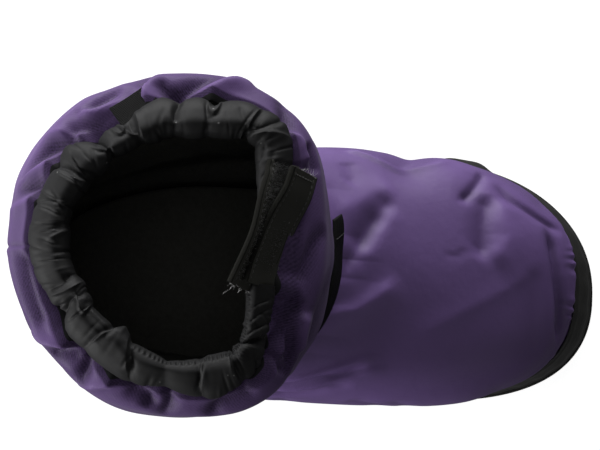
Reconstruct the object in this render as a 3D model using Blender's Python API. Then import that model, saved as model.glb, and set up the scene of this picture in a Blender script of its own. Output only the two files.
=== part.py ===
"""Dance warm-up boot for the left foot.

A padded nylon upper stands on a thin rubber sole. A rand wraps its lower edge, a strap draws in the ankle
and a gathered casing closes the shaft, fastened in front by two overlapping tabs.

Frame: +X points to the toe, +Y to the outer (lateral) side, +Z up. The tables are in millimetres, measured
from the back of the heel and from the last's centre line; BOOT_FRAME moves the middle of the boot's box to
the origin.
"""

import math
from collections import namedtuple

import bmesh
import bpy
import numpy as np

MM = 0.001
GAP = 0.3
WELD_DISTANCE = 0.002

# Driving dimensions of the sole
SOLE_THICKNESS = 8.0
SOLE_LEDGE = 1.7
HEEL_FLAT_END = 82.0
FOREFOOT_FLAT = (150.0, 206.0)
ARCH_RISE = 2.0
TOE_SPRING = 8.0
TOE_TIP_X = 270.0

# Driving dimensions of the upper and of what is sewn to it
WALL = 3.5
RAND_THICKNESS = 1.8
INSOLE_THICKNESS = 4.5
INSOLE_CLEARANCE = 0.8
STRAP_THICKNESS = 1.8
LABEL_THICKNESS = 0.8

# Mesh resolution
AROUND = 56
LEVELS_PER_RING = 2
FINE_STEPS = 2000
SOLE_COLUMNS = 6
INSOLE_COLUMNS = 4

# One row for each ring of the upper, from the sole up. front and back are where the ring crosses the centre
# line, front_z and back_z its heights there above the top of the sole, lateral and medial its half widths,
# widest the place of its greatest width, toe_y the sideways shift of its tip, waist its share drawn in at the
# arch, and front_round and back_round the exponents of the superellipses ahead of and behind its widest place.
Ring = namedtuple(
    "Ring", "name front back front_z back_z lateral medial widest toe_y waist front_round back_round"
)
UPPER_RINGS = (
    Ring("sole_edge", 265.5, 4.5, GAP, GAP, 53.5, 53.5, 188, -6.0, 0.12, 2.3, 2.5),
    Ring("rand_middle", 263.5, 3.5, 14, 13, 53.0, 53.0, 186, -6.0, 0.11, 2.35, 2.5),
    Ring("rand_top", 256.5, 4.0, 29, 26, 51.5, 52.0, 182, -5.5, 0.08, 2.5, 2.45),
    Ring("puff", 256.5, 1.5, 40, 39, 57.0, 59.5, 174, -5.0, 0.0, 2.5, 2.4),
    Ring("toe_top", 247.0, 2.0, 55, 53, 57.0, 60.5, 163, -4.5, 0.0, 2.4, 2.35),
    Ring("vamp_front", 229.0, 4.5, 68, 66, 55.5, 59.0, 148, -4.0, 0.0, 2.3, 2.3),
    Ring("vamp_middle", 205.0, 8.0, 78, 77, 53.0, 55.5, 130, -3.0, 0.0, 2.2, 2.2),
    Ring("instep", 176.0, 11.0, 88, 87, 52.0, 53.0, 109, -1.5, 0.0, 2.1, 2.1),
    Ring("ankle_front", 152.5, 13.0, 98, 95, 53.0, 52.5, 93, 0.0, 0.0, 2.0, 2.0),
    Ring("ankle", 141.0, 13.5, 108, 103, 57.0, 54.5, 85, 0.0, 0.0, 2.0, 2.0),
    Ring("shaft_low", 143.5, 11.0, 122, 120, 65.0, 61.5, 82, 0.0, 0.0, 2.0, 2.0),
    Ring("shaft_middle", 144.5, 11.5, 145, 145, 71.5, 68.0, 82, 0.0, 0.0, 2.1, 2.0),
    Ring("shoulder", 140.5, 15.0, 162, 162, 69.0, 66.0, 84, 0.0, 0.0, 2.4, 2.0),
    Ring("collar_seam", 131.0, 22.0, 175, 175, 59.5, 60.0, 88, 0.0, 0.0, 3.2, 2.0),
)
RING_LEVEL = {ring.name: level for level, ring in enumerate(UPPER_RINGS)}

# One row for each corner down the side of the outsole: inset from its ledge, and share of its thickness
SoleCorner = namedtuple("SoleCorner", "name inset height")
SOLE_SIDE = (
    SoleCorner("top_edge", 0.9, 1.0),
    SoleCorner("ledge_top", 0.0, 0.88),
    SoleCorner("ledge_foot", 0.0, 0.6),
    SoleCorner("step", 1.5, 0.5),
    SoleCorner("wall_foot", 1.8, 0.14),
    SoleCorner("ground_edge", 3.2, 0.0),
)

# Gathered casing of the collar, from its lateral end round the back to its medial end. The ends are degrees
# of the collar seam's ring, counted from its front to the lateral side
CASING_ENDS = (25.0, 349.0)
CASING_LENGTH = 23.0
CASING_THICKNESS = 9.5
CASING_LEAN = math.radians(38)
CASING_SEAM_GAP = 0.8
GATHERS = 19
GATHER_DEPTH = 0.26
GATHER_ROUND = 0.7
GATHER_DRIFT = 0.05
STATIONS_PER_GATHER = 5
CASING_SIDES = 10

# Ankle strap: degrees round the ankle ring, from its free end in front to the back seam
STRAP_FREE_END, STRAP_BACK_END = 20.0, -178.0
STRAP_LEVELS = (RING_LEVEL["ankle"] - 0.5, RING_LEVEL["ankle"] + 0.6)
STRAP_STATIONS = 40

# Label in the collar seam
LABEL_ANGLES = (107.5, 120.0)
LABEL_LEVELS = (RING_LEVEL["shoulder"] + 0.4, RING_LEVEL["collar_seam"] - 0.04)
LABEL_COLUMNS, LABEL_ROWS = 5, 4

# Closing tabs of the collar: one row for each place along a tab's middle line, with the lean of its face
# inwards from upright, in degrees
TabStation = namedtuple("TabStation", "x y z lean")
HOOK_TAB = (
    TabStation(115.2, -19.4, 192.6, 40.0),
    TabStation(115.6, -15.0, 193.0, 38.0),
    TabStation(119.8, -2.5, 193.0, 34.0),
    TabStation(124.2, 10.0, 193.0, 32.0),
    TabStation(128.0, 21.0, 192.2, 30.0),
    TabStation(131.0, 31.5, 191.2, 28.0),
)
LOOP_TAB = (
    TabStation(120.3, 32.0, 194.5, 42.0),
    TabStation(121.0, 28.0, 195.0, 40.0),
    TabStation(118.6, 17.5, 195.5, 40.0),
    TabStation(115.0, 3.5, 195.5, 40.0),
    TabStation(109.0, -17.0, 195.0, 40.0),
)
TAB_WIDTH = 20.0
TAB_THICKNESS = 2.2
TAB_SAMPLES = 14

Finish = namedtuple("Finish", "colour roughness")
FINISHES = {
    "purple_nylon": Finish((0.115, 0.07, 0.19), 0.38),
    "black_casing": Finish((0.018, 0.018, 0.019), 0.5),
    "black_coated": Finish((0.012, 0.012, 0.011), 0.42),
    "black_rubber": Finish((0.015, 0.015, 0.015), 0.6),
    "black_webbing": Finish((0.01, 0.01, 0.01), 0.75),
    "black_fleece": Finish((0.008, 0.008, 0.008), 0.95),
}


# Curves and outlines


def smooth_step(value):
    t = np.clip(value, 0.0, 1.0)
    return t * t * (3 - 2 * t)


def sole_lift(x):
    """Height of the underside of the sole above the floor: flat heel and forefoot, arch and toe spring."""
    arch_span = (x - HEEL_FLAT_END) / (FOREFOOT_FLAT[0] - HEEL_FLAT_END)
    arch = ARCH_RISE * np.sin(math.pi * np.clip(arch_span, 0.0, 1.0)) ** 2
    toe = np.clip((x - FOREFOOT_FLAT[1]) / (TOE_TIP_X - FOREFOOT_FLAT[1]), 0.0, None)
    return arch + TOE_SPRING * toe**2


def signed_power(value, power):
    return np.sign(value) * np.abs(value) ** power


def ring_outline(ring, angles):
    """Points of one ring of the upper, above the floor. Angle 0 is the tip, 90 degrees the lateral side."""
    cosine, sine = np.cos(angles), np.sin(angles)
    ahead = cosine > 0
    power = 2 / np.where(ahead, ring.front_round, ring.back_round)
    reach = np.where(ahead, ring.front - ring.widest, ring.widest - ring.back)
    along = signed_power(cosine, power)
    x = ring.widest + reach * along
    half_width = np.where(sine > 0, ring.lateral, ring.medial)
    arch_middle = (HEEL_FLAT_END + FOREFOOT_FLAT[0]) / 2
    arch_reach = FOREFOOT_FLAT[0] - HEEL_FLAT_END
    waist = 1 - ring.waist * np.exp(-(((x - arch_middle) / arch_reach * 2) ** 2))
    y = half_width * waist * signed_power(sine, power) + ring.toe_y * np.clip(along, 0, None) ** 2
    rise = (x - ring.back) / (ring.front - ring.back)
    z = ring.back_z + (ring.front_z - ring.back_z) * rise
    on_sole = 1 - smooth_step(z / UPPER_RINGS[RING_LEVEL["vamp_middle"]].front_z)
    return np.stack([x, y, SOLE_THICKNESS + z + on_sole * sole_lift(x)], axis=-1)


def spline_through(rows, levels):
    """A smooth curve through the rows, read at fractional row numbers."""
    rows = np.asarray(rows, float)
    steps = np.linalg.norm(np.diff(rows, axis=0), axis=-1)
    spans = np.sqrt(steps.reshape(len(steps), -1).mean(axis=1))
    slopes = np.diff(rows, axis=0) / spans.reshape(-1, *[1] * (rows.ndim - 1))
    tangents = np.empty_like(rows)
    tangents[0], tangents[-1] = slopes[0], slopes[-1]
    for i in range(1, len(rows) - 1):
        before, after = spans[i - 1], spans[i]
        tangents[i] = (slopes[i - 1] * after + slopes[i] * before) / (before + after)
    points = []
    for level in levels:
        i = int(min(max(math.floor(level), 0), len(rows) - 2))
        t, span = level - i, spans[i]
        points.append(
            (1 + 2 * t) * (1 - t) ** 2 * rows[i]
            + t * (1 - t) ** 2 * span * tangents[i]
            + t * t * (3 - 2 * t) * rows[i + 1]
            + t * t * (t - 1) * span * tangents[i + 1]
        )
    return np.array(points)


def upper_points(angles, levels):
    """Grid of points on the outer face of the upper: a row for each level, a column for each angle."""
    return spline_through([ring_outline(ring, angles) for ring in UPPER_RINGS], levels)


def upper_offset(angles, levels, distance):
    """The same grid, moved outwards from the upper's face, with its foot still on the sole."""
    angles, levels = np.asarray(angles, float), np.asarray(levels, float)
    nudge = 1e-3
    top = len(UPPER_RINGS) - 1
    around = upper_points(angles + nudge, levels) - upper_points(angles - nudge, levels)
    up = upper_points(angles, np.minimum(levels + nudge, top))
    up -= upper_points(angles, np.maximum(levels - nudge, 0))
    normal = np.cross(around, up)
    normal /= np.linalg.norm(normal, axis=-1, keepdims=True)
    moved = upper_points(angles, levels) + distance * normal
    foot = levels == RING_LEVEL["sole_edge"]
    moved[foot, :, 2] = SOLE_THICKNESS + GAP + sole_lift(moved[foot, :, 0])
    return moved


def plan_offset(outline, distance):
    """A closed plan outline, counter-clockwise from above, moved outwards."""
    tangent = np.roll(outline, -1, axis=0) - np.roll(outline, 1, axis=0)
    outward = np.stack([tangent[:, 1], -tangent[:, 0]], axis=-1)
    outward /= np.linalg.norm(outward, axis=-1, keepdims=True)
    moved = outline.copy()
    moved[:, :2] += distance * outward
    return moved


# Solids


def make_object(name, points, faces, finish):
    """A closed mesh object from points in millimetres, shaded smooth, in the boot's frame."""
    mesh = bpy.data.meshes.new(name)
    mesh.from_pydata([tuple(p) for p in np.asarray(points) * MM], [], faces)
    work = bmesh.new()
    work.from_mesh(mesh)
    bmesh.ops.remove_doubles(work, verts=work.verts, dist=WELD_DISTANCE * MM)
    bmesh.ops.recalc_face_normals(work, faces=work.faces)
    work.to_mesh(mesh)
    work.free()
    mesh.shade_smooth()
    mesh.set_sharp_from_angle(angle=math.radians(40))
    mesh.materials.append(material(finish))
    obj = bpy.data.objects.new(name, mesh)
    bpy.context.scene.collection.objects.link(obj)
    obj.parent = BOOT_FRAME
    return obj


def material(name):
    found = bpy.data.materials.get(name)
    if found:
        return found
    made = bpy.data.materials.new(name)
    made.use_nodes = True
    shader = made.node_tree.nodes["Principled BSDF"]
    shader.inputs["Base Color"].default_value = (*FINISHES[name].colour, 1.0)
    shader.inputs["Roughness"].default_value = FINISHES[name].roughness
    return made


def grid_faces(index, wrap):
    """Quads of a grid of point numbers; wrap joins its last column to its first."""
    rows, columns = index.shape
    across = range(columns if wrap else columns - 1)
    return [
        (index[r][c], index[r][(c + 1) % columns], index[r + 1][(c + 1) % columns], index[r + 1][c])
        for r in range(rows - 1)
        for c in across
    ]


def wall_between(name, outer, inner, wrap, finish):
    """A solid between two grids of points, closed round its open edges."""
    rows, columns, _ = outer.shape
    index = np.arange(2 * rows * columns).reshape(2, rows, columns)
    faces = grid_faces(index[0], wrap) + grid_faces(index[1], wrap)
    for edge in (0, -1):
        faces += grid_faces(index[:, edge, :], wrap)
        if not wrap:
            faces += grid_faces(index[:, :, edge], False)
    points = np.concatenate([outer.reshape(-1, 3), inner.reshape(-1, 3)])
    return make_object(name, points, faces, finish)


def plate_grid(outline, across, height):
    """A grid of points that fills an outline from its tip to its back, at the given height over the plan."""
    half = len(outline) // 2
    lateral = outline[: half + 1, :2]
    medial = outline[-np.arange(half + 1), :2]
    share = np.linspace(0, 1, across + 1)[None, :, None]
    plan = lateral[:, None, :] * (1 - share) + medial[:, None, :] * share
    return np.concatenate([plan, height(plan[..., 0])[..., None]], axis=-1)


def plate(name, loops, across, top_height, bottom_height, finish):
    """A solid sole or insole: its loops run down its side, and grids close its top and underside."""
    points, faces = [], []
    for grid, wrap in (
        (np.array(loops), True),
        (plate_grid(loops[0], across, top_height), False),
        (plate_grid(loops[-1], across, bottom_height), False),
    ):
        index = np.arange(grid.shape[0] * grid.shape[1]).reshape(grid.shape[:2]) + len(points)
        points.extend(grid.reshape(-1, 3))
        faces += grid_faces(index, wrap)
    return make_object(name, points, faces, finish)


def evenly_along(path, values, count):
    """The values that belong to places at even distances along a path."""
    steps = np.linalg.norm(np.diff(path, axis=0), axis=1)
    length = np.concatenate([[0.0], np.cumsum(steps)])
    return np.interp(np.linspace(0, length[-1], count), length, values)


def ring_angles():
    """Angles of the upper's columns: even along one side of the sole, and mirrored for the other side."""
    fine = np.linspace(0, math.pi, FINE_STEPS)
    side = evenly_along(ring_outline(UPPER_RINGS[0], fine), fine, AROUND // 2 + 1)
    return np.concatenate([side, 2 * math.pi - side[-2:0:-1]])


def sole_outline(offset):
    """Plan outline of the upper's foot on the sole, moved outwards."""
    return plan_offset(ring_outline(UPPER_RINGS[0], ring_angles()), offset)


def make_outsole():
    ledge = GAP + RAND_THICKNESS + SOLE_LEDGE
    loops = []
    for corner in SOLE_SIDE:
        loop = sole_outline(ledge - corner.inset)
        loop[:, 2] = sole_lift(loop[:, 0]) + corner.height * SOLE_THICKNESS
        loops.append(loop)
    return plate(
        "outsole",
        loops,
        SOLE_COLUMNS,
        lambda x: sole_lift(x) + SOLE_THICKNESS,
        sole_lift,
        "black_rubber",
    )


def make_insole():
    floor = SOLE_THICKNESS + GAP
    loops = []
    for height in (INSOLE_THICKNESS, 0.0):
        loop = sole_outline(-WALL - INSOLE_CLEARANCE)
        loop[:, 2] = sole_lift(loop[:, 0]) + floor + height
        loops.append(loop)
    return plate(
        "insole",
        loops,
        INSOLE_COLUMNS,
        lambda x: sole_lift(x) + floor + INSOLE_THICKNESS,
        lambda x: sole_lift(x) + floor,
        "black_fleece",
    )


def make_upper():
    levels = np.linspace(0, len(UPPER_RINGS) - 1, LEVELS_PER_RING * (len(UPPER_RINGS) - 1) + 1)
    outer = upper_offset(ring_angles(), levels, 0.0)
    inner = upper_offset(ring_angles(), levels, -WALL)
    return wall_between("upper", outer, inner, True, "purple_nylon")


def make_rand():
    levels = np.linspace(0, RING_LEVEL["rand_top"], LEVELS_PER_RING * RING_LEVEL["rand_top"] + 1)
    inner = upper_offset(ring_angles(), levels, GAP)
    outer = upper_offset(ring_angles(), levels, GAP + RAND_THICKNESS)
    return wall_between("rand", outer, inner, True, "black_coated")


def level_outward(path):
    """Level direction to the right of a path, at each of its points."""
    along = np.gradient(path, axis=0)
    outward = np.stack([along[:, 1], -along[:, 0], np.zeros(len(path))], axis=-1)
    return outward / np.linalg.norm(outward, axis=-1, keepdims=True)


def seam_path(ends, count):
    """Points at even distances along the middle of the shaft's top edge."""
    fine = np.radians(np.linspace(*ends, FINE_STEPS))
    path = upper_offset(fine, [len(UPPER_RINGS) - 1], -WALL / 2)[0]
    return np.stack([evenly_along(path, axis, count) for axis in path.T], axis=-1)


def gather(count):
    """Fullness of the casing along its length: 1 at the top of a puff, 0 in a fold."""
    turn = np.linspace(0, math.pi, count)
    uneven = turn + GATHER_DRIFT * (np.sin(6 * turn) + np.sin(14 * turn) / 2)
    return np.abs(np.cos(GATHERS * uneven)) ** GATHER_ROUND


def make_collar_casing():
    stations = GATHERS * STATIONS_PER_GATHER + 1
    seam = seam_path(CASING_ENDS, stations)
    outward, up = level_outward(seam), np.array([0.0, 0.0, 1.0])
    along = -outward * math.cos(CASING_LEAN) + up * math.sin(CASING_LEAN)
    over = outward * math.sin(CASING_LEAN) + up * math.cos(CASING_LEAN)
    fullness = (1 - GATHER_DEPTH * (1 - gather(stations)))[:, None]
    reach = CASING_LENGTH / 2 * (0.5 + 0.5 * fullness)
    depth = CASING_THICKNESS / 2 * fullness
    centre = seam + along * (reach + CASING_SEAM_GAP)
    turns = np.arange(CASING_SIDES) * 2 * math.pi / CASING_SIDES
    grid = np.array(
        [centre + along * reach * math.cos(turn) + over * depth * math.sin(turn) for turn in turns]
    )
    index = np.arange(grid.shape[0] * grid.shape[1]).reshape(grid.shape[:2])
    faces = grid_faces(np.vstack([index, index[:1]]), False)
    faces += [tuple(index[:, 0]), tuple(index[:, -1])]
    return make_object("collar_casing", grid.reshape(-1, 3), faces, "black_casing")


def tab_grid(stations, face_offset):
    """Three lines of points along one face of a tab: its two edges and its middle."""
    rows = spline_through(stations, np.linspace(0, len(stations) - 1, TAB_SAMPLES))
    centre, lean = rows[:, :3], np.radians(rows[:, 3:])
    outward, up = level_outward(centre), np.array([0.0, 0.0, 1.0])
    outward *= np.sign(outward[:, :1])  # both tabs face the toe, whichever way they run
    across = -outward * np.sin(lean) + up * np.cos(lean)
    face = outward * np.cos(lean) + up * np.sin(lean)
    return np.array([centre + across * TAB_WIDTH * share + face * face_offset for share in (-0.5, 0.0, 0.5)])


def make_tab(name, stations, finish):
    outer = tab_grid(stations, TAB_THICKNESS / 2)
    inner = tab_grid(stations, -TAB_THICKNESS / 2)
    return wall_between(name, outer, inner, False, finish)


def make_ankle_strap():
    """A flat strap that bridges the hollow of the ankle between its two edges."""
    angles = np.radians(np.linspace(STRAP_FREE_END, STRAP_BACK_END, STRAP_STATIONS))
    inner = upper_offset(angles, STRAP_LEVELS, GAP)
    outer = upper_offset(angles, STRAP_LEVELS, GAP + STRAP_THICKNESS)
    return wall_between("ankle_strap", outer, inner, False, "black_webbing")


def make_side_label():
    angles = np.radians(np.linspace(*LABEL_ANGLES, LABEL_COLUMNS))
    levels = np.linspace(*LABEL_LEVELS, LABEL_ROWS)
    inner = upper_offset(angles, levels, GAP)
    outer = upper_offset(angles, levels, GAP + LABEL_THICKNESS)
    return wall_between("side_label", outer, inner, False, "black_webbing")


def centre_on_origin(objects):
    """Moves the boot's frame so that the middle of its box stands over the origin."""
    corners = np.array([tuple(v.co) for obj in objects for v in obj.data.vertices])
    low, high = corners.min(axis=0), corners.max(axis=0)
    BOOT_FRAME.location = (-(low[0] + high[0]) / 2, -(low[1] + high[1]) / 2, -low[2])


for old in list(bpy.data.objects):
    bpy.data.objects.remove(old)
BOOT_FRAME = bpy.data.objects.new("boot_frame", None)
bpy.context.scene.collection.objects.link(BOOT_FRAME)

centre_on_origin(
    [
        make_outsole(),
        make_insole(),
        make_upper(),
        make_rand(),
        make_collar_casing(),
        make_tab("hook_tab", HOOK_TAB, "black_webbing"),
        make_tab("loop_tab", LOOP_TAB, "black_webbing"),
        make_ankle_strap(),
        make_side_label(),
    ]
)
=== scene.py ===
"""Looks of the left dance warm-up boot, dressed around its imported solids.

The tables repeat the boot's own measures: millimetres from the back of the heel and from the last's centre
line. Places on the upper are degrees round it, from the toe to the lateral side, and ring levels up it.
"""

import math
from collections import namedtuple

import bmesh
import bpy
import numpy as np
from mathutils import Matrix


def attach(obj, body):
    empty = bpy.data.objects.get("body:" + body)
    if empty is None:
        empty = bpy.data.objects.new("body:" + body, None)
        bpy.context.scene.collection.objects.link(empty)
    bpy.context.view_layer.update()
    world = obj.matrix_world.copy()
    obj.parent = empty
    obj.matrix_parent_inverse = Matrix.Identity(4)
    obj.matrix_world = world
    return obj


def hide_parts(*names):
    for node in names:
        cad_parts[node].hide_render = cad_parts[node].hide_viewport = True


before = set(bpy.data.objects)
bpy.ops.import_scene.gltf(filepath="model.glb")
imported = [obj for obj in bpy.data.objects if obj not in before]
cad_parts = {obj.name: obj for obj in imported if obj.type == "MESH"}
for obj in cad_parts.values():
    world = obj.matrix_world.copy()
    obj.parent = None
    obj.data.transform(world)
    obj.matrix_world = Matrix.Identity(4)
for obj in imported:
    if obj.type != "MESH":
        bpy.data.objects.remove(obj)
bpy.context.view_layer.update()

MM = 0.001
GAP = 0.3
WELD_DISTANCE = 0.0005
SEED = 11
UP = np.array([0.0, 0.0, 1.0])

# Driving dimensions, as in the solids
SOLE_THICKNESS = 8.0
SOLE_LEDGE = 1.7
HEEL_FLAT_END = 82.0
FOREFOOT_FLAT = (150.0, 206.0)
ARCH_RISE = 2.0
TOE_SPRING = 8.0
TOE_TIP_X = 270.0
WALL = 3.5
RAND_THICKNESS = 1.8
INSOLE_THICKNESS = 4.5
INSOLE_CLEARANCE = 0.8
STRAP_THICKNESS = 1.8
LABEL_THICKNESS = 0.8

# Thickness of the shell, the outer part of the upper's wall
SHELL = 2.0

# Rings of the upper, as in the solids
Ring = namedtuple(
    "Ring", "name front back front_z back_z lateral medial widest toe_y waist front_round back_round"
)
UPPER_RINGS = (
    Ring("sole_edge", 265.5, 4.5, GAP, GAP, 53.5, 53.5, 188, -6.0, 0.12, 2.3, 2.5),
    Ring("rand_middle", 263.5, 3.5, 14, 13, 53.0, 53.0, 186, -6.0, 0.11, 2.35, 2.5),
    Ring("rand_top", 256.5, 4.0, 29, 26, 51.5, 52.0, 182, -5.5, 0.08, 2.5, 2.45),
    Ring("puff", 256.5, 1.5, 40, 39, 57.0, 59.5, 174, -5.0, 0.0, 2.5, 2.4),
    Ring("toe_top", 247.0, 2.0, 55, 53, 57.0, 60.5, 163, -4.5, 0.0, 2.4, 2.35),
    Ring("vamp_front", 229.0, 4.5, 68, 66, 55.5, 59.0, 148, -4.0, 0.0, 2.3, 2.3),
    Ring("vamp_middle", 205.0, 8.0, 78, 77, 53.0, 55.5, 130, -3.0, 0.0, 2.2, 2.2),
    Ring("instep", 176.0, 11.0, 88, 87, 52.0, 53.0, 109, -1.5, 0.0, 2.1, 2.1),
    Ring("ankle_front", 152.5, 13.0, 98, 95, 53.0, 52.5, 93, 0.0, 0.0, 2.0, 2.0),
    Ring("ankle", 141.0, 13.5, 108, 103, 57.0, 54.5, 85, 0.0, 0.0, 2.0, 2.0),
    Ring("shaft_low", 143.5, 11.0, 122, 120, 65.0, 61.5, 82, 0.0, 0.0, 2.0, 2.0),
    Ring("shaft_middle", 144.5, 11.5, 145, 145, 71.5, 68.0, 82, 0.0, 0.0, 2.1, 2.0),
    Ring("shoulder", 140.5, 15.0, 162, 162, 69.0, 66.0, 84, 0.0, 0.0, 2.4, 2.0),
    Ring("collar_seam", 131.0, 22.0, 175, 175, 59.5, 60.0, 88, 0.0, 0.0, 3.2, 2.0),
)
LEVEL = {ring.name: level for level, ring in enumerate(UPPER_RINGS)}
TOP_LEVEL = len(UPPER_RINGS) - 1
FOOT_RING, SHAFT_RING = UPPER_RINGS[0], UPPER_RINGS[LEVEL["shaft_middle"]]
BOOT_SHIFT = -np.array(
    [(FOOT_RING.front + FOOT_RING.back) / 2, (SHAFT_RING.lateral - SHAFT_RING.medial) / 2, 0.0]
)

# Folds of the cloth: height above (or depth below) the smooth upper, half widths on the right and on the left
# of its line as seen from above, and the line over the upper as places of angle and level
Fold = namedtuple("Fold", "name height right left line")
FOOT_FOLDS = (
    Fold("instep trough", -1.9, 7.0, 3.2, ((38, 6.7), (33, 6.95), (24, 7.3), (15, 7.6), (5, 7.9))),
    Fold("instep trough end", -1.5, 6.0, 3.0, ((30, 7.05), (21, 7.4), (12, 7.7), (3, 8.0), (-8, 8.35))),
    Fold("instep shoulder", 1.3, 7.0, 7.0, ((44, 6.5), (39, 6.95), (33, 7.4), (28, 7.8), (24, 8.2))),
    Fold("instep dent", -0.9, 4.0, 4.0, ((63, 6.7), (56, 6.9), (49, 7.1), (43, 7.4))),
    Fold("instep ridge", 0.6, 4.0, 7.0, ((32, 6.85), (24, 7.1), (16, 7.4), (7, 7.65), (1, 7.85))),
    Fold("lateral waist", -4.6, 11.0, 11.0, ((89, 3.0), (83, 4.0), (71, 5.0), (63, 5.6))),
    Fold("lateral fold", 1.7, 1.7, 2.6, ((82, 5.8), (74, 5.9), (66, 5.95), (60, 5.95), (54, 6.0))),
    Fold("lateral shelf", 1.0, 2.4, 2.4, ((59, 6.0), (61, 5.5), (63, 4.9), (66, 4.4))),
    Fold("lateral heel side", -2.6, 14.0, 14.0, ((103, 4.45), (96, 4.5), (89, 4.65))),
    Fold("lateral toe side", -2.8, 12.0, 12.0, ((78, 3.3), (70, 3.3), (61, 3.3), (49, 3.3), (39, 3.3))),
    Fold("medial toe side", -3.2, 14.0, 14.0, ((-54, 3.3), (-46, 3.3), (-38, 3.3), (-28, 3.3), (-16, 3.3))),
    Fold("ball crease", -2.2, 1.3, 2.6, ((58, 4.1), (54, 4.4), (43, 5.2), (37, 5.6), (34, 5.75))),
    Fold("ball crease shade", -0.5, 4.5, 4.5, ((56, 4.5), (46, 5.1), (37, 5.7))),
    Fold("toe crease", -2.6, 6.0, 4.0, ((42, 4.9), (34, 5.2), (26, 5.45), (19, 5.6), (13, 5.7), (7, 5.9))),
    Fold("toe ridge", 1.4, 4.5, 10.0,
         ((40, 4.7), (32, 4.95), (26, 5.1), (19, 5.15), (13, 5.35), (6, 5.65))),
    Fold("toe side line", -2.0, 3.6, 1.8,
         ((50, 4.35), (44, 4.45), (37, 4.45), (30, 4.15), (26, 3.85), (21, 3.3))),
    Fold("toe trough", -4.2, 4.0, 2.4,
         ((26, 4.0), (16, 4.0), (8, 4.0), (0, 3.9), (-7, 3.7), (-14, 3.45), (-22, 3.2))),
    Fold("long ridge", 0.5, 5.0, 4.0,
         ((9, 4.5), (1, 5.05), (-5, 5.55), (-14, 6.05), (-23, 6.35), (-32, 6.6))),
    Fold("toe pucker strip", 0.9, 2.2, 2.2,
         ((24, 3.1), (15, 3.15), (5, 3.2), (-4, 3.2), (-14, 3.2), (-22, 3.1))),
    Fold("toe slope", -0.8, 6.0, 6.0, ((9, 4.7), (4, 4.7), (-12, 4.6), (-27, 4.3), (-34, 4.1))),
    Fold("centre ridge", 1.8, 7.0, 3.6,
         ((-27, 9.0), (-25, 8.4), (-23, 8.1), (-21, 7.75), (-15, 7.5), (-9, 7.3), (-2, 7.05))),
    Fold("small crease", -0.4, 1.6, 1.6, ((11, 6.35), (9, 6.3), (8, 6.2), (10, 6.1), (13, 6.0))),
    Fold("medial ridge", 1.3, 2.8, 1.5, ((-76, 7.2), (-67, 7.2), (-58, 7.1), (-50, 6.95), (-42, 6.75))),
    Fold("medial lower ridge", 1.2, 2.8, 1.5,
         ((-94, 6.35), (-81, 6.5), (-69, 6.55), (-57, 6.55), (-47, 6.4))),
    Fold("medial crease", -1.5, 2.2, 2.2, ((-88, 6.8), (-73, 6.9), (-65, 6.9), (-61, 6.75), (-50, 6.65))),
    Fold("medial trough", -1.9, 3.0, 2.6, ((-98, 5.5), (-91, 5.75), (-83, 6.05), (-76, 6.25), (-66, 6.3))),
    Fold("medial edge dent", -1.2, 5.0, 5.0, ((-86, 5.2), (-88, 4.2), (-90, 3.2))),
    Fold("medial edge dent 2", -1.0, 4.5, 4.5, ((-76, 5.0), (-82, 4.1), (-86, 3.1))),
    Fold("medial edge dent 3", -1.0, 4.0, 4.0, ((-98, 5.0), (-100, 4.2), (-102, 3.2))),
    Fold("lateral ankle fold", -1.7, 5.0, 5.0, ((100, 7.4), (112, 6.6), (126, 6.1), (140, 6.0))),
    Fold("lateral ankle ridge", 1.1, 4.6, 4.6, ((104, 6.6), (116, 5.9), (132, 5.5))),
    Fold("medial heel fold", -1.7, 5.0, 5.0, ((-112, 7.5), (-124, 6.8), (-138, 6.4), (-152, 6.3))),
    Fold("medial heel ridge", 1.1, 4.6, 4.6, ((-114, 6.6), (-128, 6.0), (-144, 5.8))),
    Fold("medial side fold", -1.3, 5.0, 5.0, ((-104, 4.9), (-114, 4.3), (-128, 4.0))),
    Fold("heel back fold", -1.5, 5.5, 5.5, ((152, 7.2), (170, 7.5), (-172, 7.45), (-156, 7.2))),
    Fold("front draw-in", -2.5, 12.0, 12.0, ((7, 11.1), (0, 11.2), (-11, 11.35))),
    Fold("front medial draw-in", -3.9, 11.0, 11.0, ((-22, 11.85), (-28, 11.9), (-35, 11.85))),
    Fold("front lateral fullness", 1.2, 9.0, 9.0, ((33, 11.7), (30, 11.7), (27, 11.7))),
    Fold("front lateral flat", -1.0, 8.0, 8.0, ((60, 11.2), (60, 11.6), (61, 12.0))),
    Fold("back lateral fullness", 1.9, 11.0, 11.0, ((127, 11.6), (136, 11.6), (146, 11.6), (156, 11.6))),
    Fold("back corner fullness", 1.0, 8.0, 8.0, ((150, 11.6), (155, 11.6), (160, 11.6))),
    Fold("back medial draw-in", -2.4, 14.0, 14.0, ((-156, 11.3), (-148, 11.4), (-138, 11.4))),
    Fold("lateral corner", 1.0, 7.0, 7.0, ((75, 10.6), (74, 11.2), (74, 11.9))),
    Fold("medial corner", 1.0, 6.0, 6.0, ((-43, 10.9), (-42, 11.6), (-42, 12.2))),
)
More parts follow.
